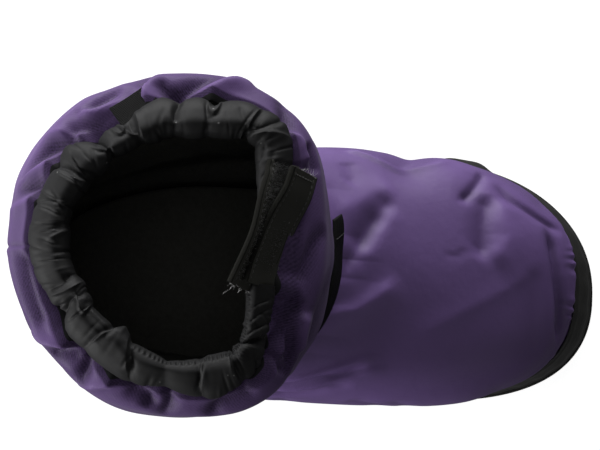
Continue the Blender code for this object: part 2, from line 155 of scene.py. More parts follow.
SHAFT_FOLDS = (
    Fold("shoulder ridge", 1.2, 4.0, 4.0,
         ((108, 12.4), (111, 12.35), (121, 12.2), (133, 12.05), (138, 11.9))),
    Fold("shoulder valley", -2.2, 3.5, 2.4,
         ((112, 12.5), (117, 12.5), (123, 12.55), (128, 12.5), (133, 12.25), (137, 12.1))),
    Fold("back lateral ridge", 2.0, 3.0, 2.6,
         ((119, 12.9), (127, 12.75), (130, 12.3), (139, 12.2), (145, 11.65))),
    Fold("back lateral valley", -2.0, 3.2, 3.2, ((120, 13), (127, 13), (132, 12.95), (139, 12.65))),
    Fold("back ridge", 2.2, 3.4, 2.8, ((135, 13), (143, 12.35), (149, 11.95), (158, 11.6))),
    Fold("back valley", -2.4, 3.4, 3.4, ((138, 13), (143, 12.7), (150, 12.5), (158, 12.25), (162, 12.0))),
    Fold("back ridge 2", 1.7, 3.0, 3.0, ((150, 13), (156, 12.65), (163, 11.9), (165, 11.6))),
    Fold("back valley 2", -1.8, 3.0, 3.0, ((158, 13), (162, 12.55), (165, 11.95), (167, 11.6))),
    Fold("back ridge 3", 1.2, 3.0, 3.0, ((165, 13), (169, 12.55), (171, 11.8), (171, 11.5))),
    Fold("back medial shade", -1.6, 3.4, 3.4,
         ((-172, 13), (-164, 12.95), (-156, 12.9), (-149, 12.8), (-146, 12.6))),
    Fold("pucker lip", 1.7, 2.4, 2.4,
         ((-137, 13), (-140, 12.85), (-143, 12.6), (-147, 12.3), (-150, 12.2))),
    Fold("pucker valley", -2.4, 2.8, 2.8, ((-133, 13), (-135, 12.85), (-137, 12.5), (-137, 12.3))),
    Fold("medial dent", -2.6, 2.8, 2.8, ((-127, 13), (-126, 12.85), (-125, 12.55), (-124, 12.3))),
    Fold("medial dent lip", 1.6, 2.4, 2.4, ((-117, 13), (-120, 12.75), (-123, 12.35), (-126, 12.1))),
    Fold("medial dent 2", -2.0, 3.2, 3.2, ((-108, 13), (-105, 12.95), (-102, 12.8), (-101, 12.5))),
    Fold("medial dent 3", -1.8, 2.8, 2.8, ((-96, 13), (-95, 12.8), (-95, 12.4), (-94, 12.2))),
    Fold("medial dent 4", -1.8, 3.0, 3.0, ((-68, 13), (-76, 12.9), (-81, 12.75), (-82, 12.3))),
    Fold("label crease", 1.7, 3.2, 1.5, ((108, 12.9), (106, 12.6), (103, 12.4), (98, 12.0), (94, 11.7))),
    Fold("label shade", -1.7, 2.6, 2.6, ((109, 12.7), (107, 12.5), (104, 12.2), (101, 11.95), (99, 11.7))),
    Fold("notch shade", -1.7, 2.6, 2.6, ((97, 13), (100, 12.85), (101, 12.7), (102, 12.5))),
    Fold("lateral arc", -2.6, 3.0, 4.4,
         ((98, 13), (96, 12.95), (90, 12.65), (83, 12.3), (75, 12.0), (70, 11.8))),
    Fold("lateral arc ridge", 2.2, 3.6, 3.6, ((88, 13), (80, 12.6), (73, 12.3), (67, 12.2))),
    Fold("front lateral shade", -2.0, 3.6, 3.6, ((56, 12.2), (52, 12.5), (45, 12.95))),
    Fold("front lateral ridge", 1.5, 2.4, 2.4, ((39, 13), (36, 12.9), (29, 12.85), (23, 12.8))),
    Fold("front lateral trough", -1.6, 2.4, 2.4, ((34, 12.65), (31, 12.6), (26, 12.55), (20, 12.5))),
    Fold("front trough", -1.5, 3.4, 3.4, ((5, 12.2), (1, 12.6), (-3, 13))),
    Fold("v fold", -2.8, 3.0, 1.5, ((-11, 13), (-15, 13), (-24, 12.95), (-36, 12.65), (-42, 12.35))),
    Fold("v fold side", -1.8, 2.2, 2.2, ((-38, 13), (-41, 12.9), (-42, 12.65), (-41, 12.4))),
    Fold("v fold light", 1.4, 3.0, 5.0, ((-14, 12.8), (-17, 12.75), (-24, 12.7), (-33, 12.4))),
)
FOLD_STEPS = 28
FOLD_SHARPNESS = 1.6

# How far a fold reaches, in half widths and in levels, the share of its line over which an end fades, the
# half width from which its ends are round instead, and the level from which an end runs under the casing
FOLD_REACH, FOLD_LEVELS = 3.2, 3.2
FOLD_FADE = 0.22
WIDE_FOLD = 8.0
COLLAR_EDGE = TOP_LEVEL - 0.15

# Share of a shaft fold's height low on the shaft, and what it gains towards the collar
SHAFT_FOLD_LEAST, SHAFT_FOLD_GAIN = 0.1, 1.7
SHAFT_FOLD_START, SHAFT_FOLD_SPAN = LEVEL["shaft_middle"] + 0.95, 0.9

# Puckers along the rand's seam, gathers that the strap draws into the ankle, waves of the shaft and the roll
# under the collar. The other numbers in their sines only make them uneven.
PUCKERS = 118
PUCKER_HEIGHT = 0.28
TOE_PUCKER_HEIGHT = 0.65
TOE_PUCKER_ANGLE = math.radians(24)
TOE_PUCKER_RISE = 0.75
PUCKER_RISE, PUCKER_LEVELS = 0.3, 0.42
ANKLE_GATHERS = 23
ANKLE_GATHER_HEIGHT = 1.1
ANKLE_GATHER_LEVEL, ANKLE_GATHER_LEVELS = LEVEL["ankle"] + 0.1, 1.0
SHAFT_WAVES = 9
SHAFT_WAVE_HEIGHT = 0.4
SHOULDER_ROLL, SHOULDER_ROLL_LEVEL, SHOULDER_ROLL_WIDTH = 3.0, 12.45, 0.42
UNEVENNESS = 0.18
RELIEF_START_LEVELS = 0.5

# Back seam: a groove, and beside it a lip in shares of the groove's depth and width
BACK_SEAM_ANGLE = math.radians(-178)
BACK_SEAM_WIDTH, BACK_SEAM_DEPTH = 0.9, 0.6
SEAM_LIP_HEIGHT, SEAM_LIP_PLACE, SEAM_LIP_WIDTH = 0.5, 2.2, 1.6

# Relief of the rand: height of each roll or crease with its place and width in shares of the rand, then waves
# and a bulge
RAND_PROFILE = ((-0.9, 1.0, 0.05), (-0.45, 0.42, 0.05), (0.4, 0.3, 0.09))
RAND_WAVES, RAND_WAVE_HEIGHT = 31, 0.22
RAND_BULGE, RAND_BULGE_ANGLE, RAND_BULGE_WIDTH = 3.4, 78.5, 8.0

# Gathered casing of the collar, a little longer at both ends than in the solids, to meet the tabs
CASING_ENDS = (10.0, 353.5)
CASING_START = -13.5
CASING_WIDTH = 16.5
CASING_STATIONS, CASING_ROWS, CASING_UNDERSIDE_ROWS = 1300, 54, 9

# Section of the casing: share of its width from its outer to its inner edge, and height above the collar seam
CASING_SECTION = (
    (0.16, -5.0),
    (0.04, -0.5),
    (0.01, 3.6),
    (0.14, 7.6),
    (0.38, 10.6),
    (0.64, 12.2),
    (0.84, 11.0),
    (0.97, 7.2),
    (1.0, 3.4),
)

# Edges of the casing: millimetres along it from the solid's lateral end, and how far its outer and its inner
# edge lie inside the collar seam
CASING_EDGES = np.array([
    (-13.5, 12.5, 16.5), (-4, 4, 16.5), (0, 1.5, 16), (8, -1, 15),
    (16, -2.5, 13), (30, -1, 14.5), (45, 1, 16.5), (52, -0.5, 17),
    (60, 1, 16.5), (66, -1.5, 16.5), (76, 1.5, 16.5), (87, 4.5, 16.5),
    (98, 4.5, 17), (108, -1.5, 17.5), (117, 1, 16.5), (130, 1, 15.5),
    (145, 0, 17), (160, 1.5, 17), (176, 4, 20), (182, 6, 20),
    (188, 3, 17), (203, 2, 17.5), (210, 1.5, 20), (215, 1, 16.5),
    (221, 0, 15.5), (236, 2, 13.5), (243, 0.5, 13.5), (254, -2, 16),
    (264, 1.5, 17), (278, 5, 17.5), (293, 8, 18), (314, 8.5, 20),
])
EDGE_ROUNDING = 81

# Height of the casing's foot over the seam, as a parabola in the inset of its outer edge, the width from which
# its relief is full, and the rise of its underside
CASING_FOOT = (0.3, 0.55, -0.02)
CASING_FULL_WIDTH, CASING_UNDERSIDE_RISE = 10, 0.8

# Broad draw-ins between the casing's lobes: place at its outer and at its inner edge, depth and half width
Pleat = namedtuple("Pleat", "outer inner depth width")
PLEATS = (
    Pleat(27, 26, 1.3, 3.6),
    Pleat(45, 47, 1.2, 3.0),
    Pleat(59, 62.5, 1.2, 3.4),
    Pleat(81, 79.5, 1.3, 3.0),
    Pleat(98, 95, 1.6, 3.4),
    Pleat(116, 112, 1.5, 3.0),
    Pleat(141, 138, 0.7, 3.4),
    Pleat(172, 168, 0.9, 3.4),
    Pleat(183, 180, 1.5, 2.8),
    Pleat(200, 205, 0.8, 3.0),
    Pleat(222, 216, 1.0, 2.8),
    Pleat(236, 235, 0.8, 4.0),
    Pleat(251.5, 250.5, 1.0, 3.0),
    Pleat(268, 266, 0.8, 2.8),
    Pleat(292, 282, 1.0, 2.6),
)

# Laps of the casing's cloth: height of its edge, how sharply the cloth drops to the right of the line and how
# slowly it rises on the left, and a line of places along the casing and shares of its width
Lap = namedtuple("Lap", "name height sharp slow line")
CASING_LAPS = (
    Lap("corner lobe edge", 1.5, 0.9, 4.0, ((26.5, 0.8), (27, 0.4), (26.5, 0.0))),
    Lap("corner ridge", 1.3, 0.8, 3.0, ((10.5, 0.05), (16.5, 0.52), (20.5, 0.76), (23.5, 0.92))),
    Lap("corner valley", -1.0, 1.6, 1.6, ((26.5, 0.77), (21.5, 0.62), (18.5, 0.25), (18, 0.0))),
    Lap("corner fan", -0.7, 1.6, 1.6, ((26.5, 0.77), (31.5, 0.46), (35, 0.15))),
    Lap("end fold", -0.6, 1.0, 1.0, ((-6, 0.9), (0, 0.6), (8, 0.5))),
    Lap("end fold 2", -0.5, 1.0, 1.0, ((3.5, 1.0), (6, 0.8), (12.5, 0.7))),
    Lap("knot hollow", -1.8, 1.5, 1.5, ((47.5, 0.1), (45, 0.05), (43, 0.05))),
    Lap("knot ridge", 1.1, 0.7, 1.6, ((46, 0.42), (43.5, 0.27), (42.5, 0.0))),
    Lap("knot left", 0.8, 0.7, 1.6, ((47, 0.0), (47, 0.22), (46, 0.4))),
    Lap("upright line", -0.7, 0.7, 1.0, ((48.5, 0.15), (47.5, 0.6), (48.5, 0.92))),
    Lap("notch", -1.5, 1.1, 1.6, ((59, 0.0), (61, 0.3), (62, 0.65))),
    Lap("label lobe edge", 1.4, 0.8, 4.0, ((78, 0.0), (77.5, 0.4), (77.5, 0.88))),
    Lap("label lobe valley", -1.1, 1.2, 1.2, ((81.5, 0.1), (81.5, 0.5), (79.5, 0.7))),
    Lap("cross line", 0.8, 0.7, 1.0, ((86.5, 0.05), (82.5, 0.55), (76.5, 0.9))),
    Lap("loop", 0.9, 0.7, 1.2, ((90, 0.0), (87, 0.38), (84, 0.32), (86, 0.0))),
    Lap("cluster edge", 1.1, 0.7, 2.0, ((100.5, 0.3), (97, 0.52), (93.5, 0.6), (94.5, 0.9))),
    Lap("cluster valley", -1.4, 1.2, 1.4, ((98, 0.0), (96, 0.4), (96.5, 0.75), (98, 1.0))),
    Lap("top lobe line", -1.0, 0.8, 1.6, ((109.5, 0.3), (111.5, 0.55), (111.5, 0.85))),
    Lap("fold over", 1.5, 0.8, 4.0, ((113.5, 1.0), (116, 0.7), (116.5, 0.36), (118.5, 0.0))),
    Lap("fold over line", 0.7, 0.6, 0.9, ((118.5, 0.25), (118, 0.6), (118, 0.8))),
    Lap("thin line", 0.8, 0.6, 0.8, ((128, 0.05), (129.5, 0.56), (131.5, 0.95))),
    Lap("dark line", 0.9, 0.7, 4.0, ((141.5, 0.05), (140, 0.5), (138, 0.95))),
    Lap("soft ridge", 0.8, 1.0, 1.4, ((142, 1.0), (145.5, 0.76), (149.5, 0.5))),
    Lap("back valley", -1.2, 1.2, 2.0, ((171, 0.1), (171, 0.6), (167.5, 1.0))),
    Lap("back ridge", 0.9, 0.8, 1.4, ((173.5, 0.1), (175, 0.6), (174, 0.95))),
    Lap("lobe notch", -1.6, 1.0, 1.6, ((183, 0.0), (180, 0.37), (179.5, 0.62))),
    Lap("folded flap", 1.5, 0.7, 2.6, ((179.5, 0.65), (184, 0.62), (188.5, 0.74), (187.5, 1.0))),
    Lap("crest line", 0.7, 0.7, 1.0, ((187, 0.92), (196, 0.9), (204, 0.87))),
    Lap("flap left edge", 1.5, 0.7, 3.4, ((208, 1.0), (203.5, 0.77), (200.5, 0.25))),
    Lap("flap right edge", 1.5, 0.7, 3.0, ((220.5, 0.2), (217, 0.64), (213.5, 1.0))),
    Lap("flap shade", -0.9, 1.3, 1.3, ((217, 0.9), (220, 0.6), (222.5, 0.3))),
    Lap("sharp crease", 1.4, 0.7, 4.0, ((250.5, 1.0), (251, 0.6), (251, 0.15))),
    Lap("corner crease", 1.1, 0.7, 3.0, ((267, 0.05), (266, 0.4), (265, 0.75))),
    Lap("turn crease", -1.5, 0.9, 1.8, ((282, 0.95), (287, 0.56), (292, 0.1))),
    Lap("turn edge", 1.0, 0.7, 1.6, ((284, 0.95), (289, 0.56), (294, 0.1))),
    Lap("gather", -1.0, 0.8, 1.4, ((287.5, 0.9), (294.5, 0.48), (299, 0.0))),
    Lap("gather 2", -1.0, 0.8, 1.4, ((295.5, 0.9), (301, 0.5), (306, 0.05))),
    Lap("gather 3", -0.9, 0.7, 1.2, ((302, 0.95), (306, 0.54), (309, 0.1))),
)

# Section of a lap, in its heights and sharp widths, and the share of its height left at its ends
LAP_EDGE, LAP_EDGE_SHARPNESS = 1.6, 1.4
LAP_HOLLOW, LAP_HOLLOW_WIDTH = 0.6, 2.5
LAP_RISE_SHARPNESS = 1.2
LAP_END_SHARE = 0.25

# Scattered wrinkles: the shares of the casing's width on which they lie, and the ranges they are drawn from
CASING_WRINKLES, WRINKLE_SHARES = 170, (0.05, 0.55, 0.95)
WRINKLE_SLANT, WRINKLE_REACH = 5, 12
WRINKLE_WIDTHS, WRINKLE_LENGTHS, WRINKLE_HEIGHTS = (0.6, 1.6), (0.15, 0.4), (-0.75, 0.5)

# Ruffle along the stitched part of the inner edge
CASING_STITCH_START, CASING_STITCH_FADE, CASING_STITCH_PITCH = 212.0, 15, 2.3
CASING_STITCH_SHARE, CASING_STITCH_WIDTH = 0.9, 0.05
RUFFLE_HEIGHT, RUFFLE_DEPTH = 0.45, 0.3

# Closing tabs of the collar, a few millimetres from the solids': middle line, and lean of the face in degrees
TabStation = namedtuple("TabStation", "x y z lean")
HOOK_TAB = (
    TabStation(114.8, -15.5, 193.0, 38.0),
    TabStation(118.2, -2.5, 193.0, 34.0),
    TabStation(122.6, 10.0, 193.0, 32.0),
    TabStation(128.0, 21.0, 192.2, 30.0),
    TabStation(130.4, 29.6, 191.2, 28.0),
)
LOOP_TAB = (
    TabStation(123.0, 33.0, 187.5, 42.0),
    TabStation(122.4, 28.0, 190.0, 41.0),
    TabStation(120.0, 17.5, 194.2, 40.0),
    TabStation(117.2, 3.5, 195.4, 40.0),
    TabStation(109.0, -17.0, 195.0, 40.0),
)
TAB_WIDTH = 20.0
TAB_THICKNESS = 2.2
TAB_SAMPLES = 130
TAB_SIDES = 40
TAB_EDGE_ROWS, TAB_EDGE_ROUNDING = 5, 0.5
TAB_BINDING, TAB_BINDING_RISE, TAB_BINDING_SLOPES = 2.6, 0.25, (0.5, 0.4)
TAB_GROOVE, TAB_GROOVE_WIDTH = 0.3, 0.45
TAB_WAVE, TAB_WAVE_RATE, TAB_WAVE_REACH = 0.25, 23, 0.35

# Half of a tab's field between its bindings, and the place of the seam across its free end, as shares
TAB_FIELD = 0.36
TAB_END_SEAM, TAB_END_SEAM_POINTS = 0.93, 30

# Looped pile of the inner tab: the stations between which it grows, and how far its loops stand, lean and curl
PILE_LOOPS, PILE_ENDS = 2600, (4, TAB_SAMPLES - 5)
PILE_HEIGHT, PILE_LEAN, PILE_LEAN_REACH, PILE_CURL = 1.1, 0.5, 0.8, 0.35
PILE_THREAD, PILE_SIDES, PILE_POINTS = 0.07, 3, 4

# Frayed ends of the tabs: number of fibres, their roots across the tab and through it, their reach onwards and
# out of its face, and their curl
Fray = namedtuple("Fray", "stations fibres across through onward outward curl")
FRAYS = (
    Fray(HOOK_TAB, 18, (-0.42, 0.46), (-0.2, 1.2), (0.4, 1.5), (0, 0.5), 0.6),
    Fray(LOOP_TAB, 26, (-0.45, 0.48), (-0.8, 1.1), (0.4, 1.8), None, 0.4),
)
FIBRE_SPREAD = 0.5
FIBRE_THREAD, FIBRE_SIDES, FIBRE_POINTS = 0.04, 4, 7

# Loose thread at the end of the inner tab: its root across the tab and on its face, its length and its curl
LOOSE_ACROSS, LOOSE_HEIGHT, LOOSE_LENGTH = 0.46, 0.8, 5.0
LOOSE_CURL, LOOSE_TURN = 1.2, 4.5

# Stitches: pitch, length and rise
TAB_STITCH, TAB_THREAD = (2.3, 1.7, 0.22), 0.2
STRAP_STITCH, STRAP_THREAD = (2.0, 1.5, 0.25), 0.18
STITCH_POINTS, STITCH_SINK = 5, 0.05
THREAD_SIDES, THREAD_TAPER, STEEP_THREAD = 6, 0.4, 0.8

# Ankle strap and label, close to the solids
STRAP_FREE_ENDS, STRAP_BACK_END = (20.0, 15.5), -178.0
STRAP_LEVELS = (LEVEL["ankle"] - 0.5, LEVEL["ankle"] + 0.6)
STRAP_COLUMNS, STRAP_ROWS, STRAP_HEM_COLUMN = 260, 22, 10
STRAP_STAND_OFF, STRAP_STAND_OFF_ANGLE, STRAP_STAND_OFF_WIDTH = 2.2, -8, 38
STRAP_END_LIFT, STRAP_LIFT_START, STRAP_LIFT_SPAN = 4.4, 2, 18
STRAP_LIFT_SHARES = (1.0, 0.6)
STRAP_RIBS, STRAP_RIB_HEIGHT = 9, 0.14
STRAP_EDGE_DROP, STRAP_EDGE_STEEPNESS = 0.5, 8
LABEL_EDGE = ((106, 12.45), (121, 12.9))
LABEL_DEPTH, LABEL_SLOPE, LABEL_LIFT, LABEL_BOW = 12.5, math.radians(18), 4.4, 0.7
LABEL_COLUMNS, LABEL_ROWS = 60, 26

# Steps down the side of the outsole, as in the solids
SoleCorner = namedtuple("SoleCorner", "name inset height")
SOLE_SIDE = (
    SoleCorner("top_edge", 0.9, 1.0),
    SoleCorner("ledge_top", 0.0, 0.88),
    SoleCorner("ledge_foot", 0.0, 0.6),
    SoleCorner("step", 1.5, 0.5),
    SoleCorner("wall_foot", 1.8, 0.14),
    SoleCorner("ground_edge", 3.2, 0.0),
)
SOLE_ROUNDING = 0.35
SOLE_HOLLOW, SOLE_HOLLOW_FROM, SOLE_HOLLOW_TO = 0.25, 0.16 * SOLE_THICKNESS, 0.46 * SOLE_THICKNESS

# Grooves of the tread: their sway, the part of the wave that is cut, and the field that they fill
TREAD_PITCH, TREAD_DEPTH = 7.0, 0.9
TREAD_SWAY, TREAD_SWAY_LENGTH = 2.5, 5.0
TREAD_CUT, TREAD_CUT_SLOPE = 0.55, 0.3
TREAD_ENDS, TREAD_MIDDLE, TREAD_HALF_WIDTH, TREAD_FADE = (8, 258), -1.0, 50, 6

# Edge of the insole, and the dish under the heel
INSOLE_BEVEL, INSOLE_BEVEL_HEIGHT, INSOLE_ROUNDING = 1.2, 1.0, 0.6
HEEL_DISH, HEEL_DISH_X, HEEL_DISH_LENGTH, HEEL_DISH_WIDTH = 0.6, 42, 26, 24

# Mesh resolution
UPPER_COLUMNS, UPPER_ROWS, UPPER_SIDE_STRETCH = 540, 134, 2.2
ROW_MARKS = ((0, 0.0), (6, 2.0), (14, 3.0), (98, 9.0), (110, 11.5), (133, 13.0))
BACKING_ROWS = 34
LINING_COLUMNS, LINING_ROWS = 240, 60
RAND_ROWS, RAND_INNER_STEP = 25, 6
SOLE_COLUMNS, SOLE_TOP_ROWS, TREAD_ROWS = 520, 30, 120
INSOLE_COLUMNS, INSOLE_TOP_ROWS, INSOLE_UNDERSIDE_ROWS = 240, 60, 8
CORNER_POINTS = 4
FINE_STEPS = 4000

# Edge of the shell, turned in under the casing, and its raised flap behind the tabs. The lip is painted dark
# as shade under the casing: it counts as a deep crease, and its inner half takes the black cloth.
LIP_ROWS, LIP_REACH, LIP_SHADE = 8, 6.0, -2.0
LIP_SLOPE, LIP_FALL = 0.1, 0.02
FRONT_FLAP, FRONT_FLAP_ANGLE, FRONT_FLAP_WIDTH, FRONT_FLAP_SLOPE = 7.0, 1.0, 13.0, 0.6

# Camera, in the tables' own measure, for an image of 600 by 450
CAMERA_PLACE = np.array([131.9, -55.9, 950.0])
CAMERA_ROLL, CAMERA_TILT = math.radians(-2.0), math.radians(4.88)
CAMERA_FOCAL_PIXELS, IMAGE_WIDTH = 1968.0, 600.0
SENSOR_WIDTH = 36.0

# Light, in metres and watts
FLOOR_SIZE, FLOOR_GLOW = 6.0, 0.92
WORLD_STRENGTH = 0.1
SoftBox = namedtuple("SoftBox", "name place size energy")
SOFT_BOXES = (
    SoftBox("key", (-0.33, 1.44, 0.42), (2.0, 0.5), 60.0),
    SoftBox("rear", (-1.4, -0.3, 0.36), (0.8, 0.5), 17.0),
    SoftBox("fill", (-1.2, -0.9, 0.26), (0.9, 0.4), 18.0),
    SoftBox("front", (1.1, -0.9, 0.6), (0.9, 0.5), 1.6),
    SoftBox("top", (-0.06, 0.0, 1.3), (0.4, 0.4), 0.6),
)


# Shape of the boot


def smooth_step(value):
    t = np.clip(value, 0.0, 1.0)
    return t * t * (3 - 2 * t)


def bell(distance, width, soft=2.0):
    return np.exp(-((np.abs(distance) / width) ** soft))


def unit(vectors):
    return vectors / np.linalg.norm(vectors, axis=-1, keepdims=True)


def half_turn(angles):
    """Angles brought between minus and plus half a turn."""
    return np.angle(np.exp(1j * angles))


def running_length(path):
    """Distance of each point of a path from its start, along it."""
    return np.concatenate([[0.0], np.cumsum(np.linalg.norm(np.diff(path, axis=0), axis=-1))])


def sole_lift(x):
    """Height of the underside of the sole above the floor: flat heel and forefoot, arch and toe spring."""
    arch_span = (x - HEEL_FLAT_END) / (FOREFOOT_FLAT[0] - HEEL_FLAT_END)
    arch = ARCH_RISE * np.sin(math.pi * np.clip(arch_span, 0.0, 1.0)) ** 2
    toe = np.clip((x - FOREFOOT_FLAT[1]) / (TOE_TIP_X - FOREFOOT_FLAT[1]), 0.0, None)
    return arch + TOE_SPRING * toe**2


def signed_power(value, power):
    return np.sign(value) * np.abs(value) ** power


def ring_outline(ring, angles):
    """Points of one ring of the upper, above the floor. Angle 0 is the tip, 90 degrees the lateral side."""
    cosine, sine = np.cos(angles), np.sin(angles)
    ahead = cosine > 0
    power = 2 / np.where(ahead, ring.front_round, ring.back_round)
    reach = np.where(ahead, ring.front - ring.widest, ring.widest - ring.back)
    along = signed_power(cosine, power)
    x = ring.widest + reach * along
    half_width = np.where(sine > 0, ring.lateral, ring.medial)
    arch_middle = (HEEL_FLAT_END + FOREFOOT_FLAT[0]) / 2
    arch_reach = FOREFOOT_FLAT[0] - HEEL_FLAT_END
    waist = 1 - ring.waist * np.exp(-(((x - arch_middle) / arch_reach * 2) ** 2))
    y = half_width * waist * signed_power(sine, power) + ring.toe_y * np.clip(along, 0, None) ** 2
    rise = (x - ring.back) / (ring.front - ring.back)
    z = ring.back_z + (ring.front_z - ring.back_z) * rise
    on_sole = 1 - smooth_step(z / UPPER_RINGS[LEVEL["vamp_middle"]].front_z)
    return np.stack([x, y, SOLE_THICKNESS + z + on_sole * sole_lift(x)], axis=-1)


def spline_through(rows, levels):
    """A smooth curve through the rows, read at fractional row numbers."""
    rows = np.asarray(rows, float)
    steps = np.linalg.norm(np.diff(rows, axis=0), axis=-1)
    spans = np.sqrt(steps.reshape(len(steps), -1).mean(axis=1))
    slopes = np.diff(rows, axis=0) / spans.reshape(-1, *[1] * (rows.ndim - 1))
    tangents = np.empty_like(rows)
    tangents[0], tangents[-1] = slopes[0], slopes[-1]
    for i in range(1, len(rows) - 1):
        before, after = spans[i - 1], spans[i]
        tangents[i] = (slopes[i - 1] * after + slopes[i] * before) / (before + after)
    points = []
    for level in levels:
        i = int(min(max(math.floor(level), 0), len(rows) - 2))
        t, span = level - i, spans[i]
        points.append(
            (1 + 2 * t) * (1 - t) ** 2 * rows[i]
            + t * (1 - t) ** 2 * span * tangents[i]
            + t * t * (3 - 2 * t) * rows[i + 1]
            + t * t * (t - 1) * span * tangents[i + 1]
        )
    return np.array(points)


def smooth_path(rows, count):
    """Points of a smooth curve through the rows."""
    return spline_through(rows, np.linspace(0, len(rows) - 1, count))


def upper_points(angles, levels):
    """Grid of points on the smooth upper: a row for each level, a column for each angle."""
    return spline_through([ring_outline(ring, angles) for ring in UPPER_RINGS], levels)


def upper_place(angle, level):
    """Point of the smooth upper at an angle in degrees and a level."""
    return upper_points(np.radians([angle]), [level])[0, 0]


def upper_normals(angles, levels):
    nudge = 1e-3
    around = upper_points(angles + nudge, levels) - upper_points(angles - nudge, levels)
    up = upper_points(angles, np.minimum(levels + nudge, TOP_LEVEL))
    up -= upper_points(angles, np.maximum(levels - nudge, 0))
    return unit(np.cross(around, up))


def upper_offset(angles, levels, distance):
    """The smooth upper moved outwards, with its foot still on the sole."""
    angles, levels = np.asarray(angles, float), np.asarray(levels, float)
    moved = upper_points(angles, levels) + distance * upper_normals(angles, levels)
    foot = levels == LEVEL["sole_edge"]
    moved[foot, :, 2] = SOLE_THICKNESS + GAP + sole_lift(moved[foot, :, 0])
    return moved


def evenly_along(path, values, count):
    """The values that belong to places at even distances along a path."""
    length = running_length(path)
    return np.interp(np.linspace(0, length[-1], count), length, values)


def ring_angles(columns, ring, side_stretch=1.0):
    """Angles of columns at even distances round a ring; a side stretch over 1 crowds them at toe and heel."""
    fine = np.linspace(0, math.pi, FINE_STEPS)
    path = ring_outline(ring, fine) * (1.0, side_stretch, 1.0)
    side = evenly_along(path, fine, columns // 2 + 1)
    return np.concatenate([side, 2 * math.pi - side[-2:0:-1]])


def back_to_back(angles):
    """The same columns from the back over the medial side and the toe to the back again."""
    half = len(angles) // 2
    return np.concatenate([[-math.pi], angles[half + 1 :] - 2 * math.pi, angles[: half + 1]])


def plan_offset(outline, distance):
    """A closed plan outline, counter-clockwise from above, moved outwards."""
    tangent = np.roll(outline, -1, axis=0) - np.roll(outline, 1, axis=0)
    moved = outline.copy()
    moved[:, :2] += distance * unit(np.stack([tangent[:, 1], -tangent[:, 0]], axis=-1))
    return moved


# Relief of the cloth


def distance_to_path(points, path):
    """Distance of each point to a path, share of the path's length at its nearest place, and whether the
    point is to the right of the path as seen from above."""
    best = np.full(len(points), np.inf)
    share = np.zeros(len(points))
    right = np.zeros(len(points), bool)
    starts = running_length(path)
    for i, length in enumerate(np.diff(starts)):
        direction = (path[i + 1] - path[i]) / length
        along = np.clip((points - path[i]) @ direction, 0, length)
        gap = np.linalg.norm(points - path[i] - along[:, None] * direction, axis=1)
        closer = gap < best
        best[closer] = gap[closer]
        share[closer] = (starts[i] + along[closer]) / starts[-1]
        away = points[closer] - path[i]
        right[closer] = away[:, 0] * direction[1] > away[:, 1] * direction[0]
    return best, share, right


def near_path(points, path, reach):
    """Which points lie in the box round a path, widened by the reach."""
    return ((points > path.min(axis=0) - reach) & (points < path.max(axis=0) + reach)).all(axis=-1)


def fold_relief(fold, points, levels):
    path = smooth_path([upper_place(*place) for place in fold.line], FOLD_STEPS)
    fold_levels = [level for _, level in fold.line]
    near = (levels > min(fold_levels) - FOLD_LEVELS) & (levels < max(fold_levels) + FOLD_LEVELS)
    near = near[:, None] & near_path(points, path, FOLD_REACH * max(fold.right, fold.left))
    relief = np.zeros(points.shape[:2])
    gap, share, right = distance_to_path(points[near], path)
    height = fold.height * bell(gap, np.where(right, fold.right, fold.left), FOLD_SHARPNESS)
    narrow = min(fold.right, fold.left) < WIDE_FOLD
    for run, level in ((share, fold_levels[0]), (1 - share, fold_levels[-1])):
        if narrow and level < COLLAR_EDGE:
            height *= smooth_step(run / FOLD_FADE)
    relief[near] = height
    return relief


def seam_puckers(angles, levels, points):
    """Small puckers along the seam with the rand, strongest round the toe."""
    seam = points[np.argmin(np.abs(levels - LEVEL["rand_top"]))]
    along = running_length(seam)
    lap = 2 * math.pi * along / along[-1]
    wave = np.sin(PUCKERS * lap + 3.0 * np.sin(23 * lap)) * (0.55 + 0.45 * np.sin(31 * lap + 2.0))
    toe = bell(half_turn(angles), TOE_PUCKER_ANGLE, 4)
    height = PUCKER_HEIGHT + (TOE_PUCKER_HEIGHT - PUCKER_HEIGHT) * toe
    above_seam = levels[:, None] - LEVEL["rand_top"] - PUCKER_RISE - TOE_PUCKER_RISE * toe[None, :]
    return (height * wave)[None, :] * bell(above_seam, PUCKER_LEVELS)


def ankle_gathers(angles, levels):
    """Gathers that the strap draws into the ankle."""
    turn = angles + 0.12 * np.sin(3 * angles + 0.6) + 0.06 * np.sin(8 * angles)
    wave = np.abs(np.cos(ANKLE_GATHERS / 2 * turn)) ** 0.8 - 0.55
    height = ANKLE_GATHER_HEIGHT * bell(levels - ANKLE_GATHER_LEVEL, ANKLE_GATHER_LEVELS)
    return wave[None, :] * height[:, None]


def shaft_waves(angles, levels):
    drift = angles[None, :] + 0.08 * (levels[:, None] - LEVEL["shaft_middle"])
    wave = np.sin(SHAFT_WAVES * drift + 1.4 * np.sin(2 * drift + 0.8)) + 0.5 * np.sin(17 * drift + 2.0)
    return SHAFT_WAVE_HEIGHT * wave * bell(levels - LEVEL["shaft_low"] - 0.5, 1.3)[:, None]


def unevenness(points):
    x, y, z = np.moveaxis(points, -1, 0)
    swirl = np.sin(x / 9.1 + 1.7 * np.sin(y / 14.3)) + np.sin(y / 7.7 + 1.5 * np.sin(z / 11.9))
    return UNEVENNESS * (swirl + np.sin(z / 8.3 + 1.9 * np.sin(x / 16.1)))


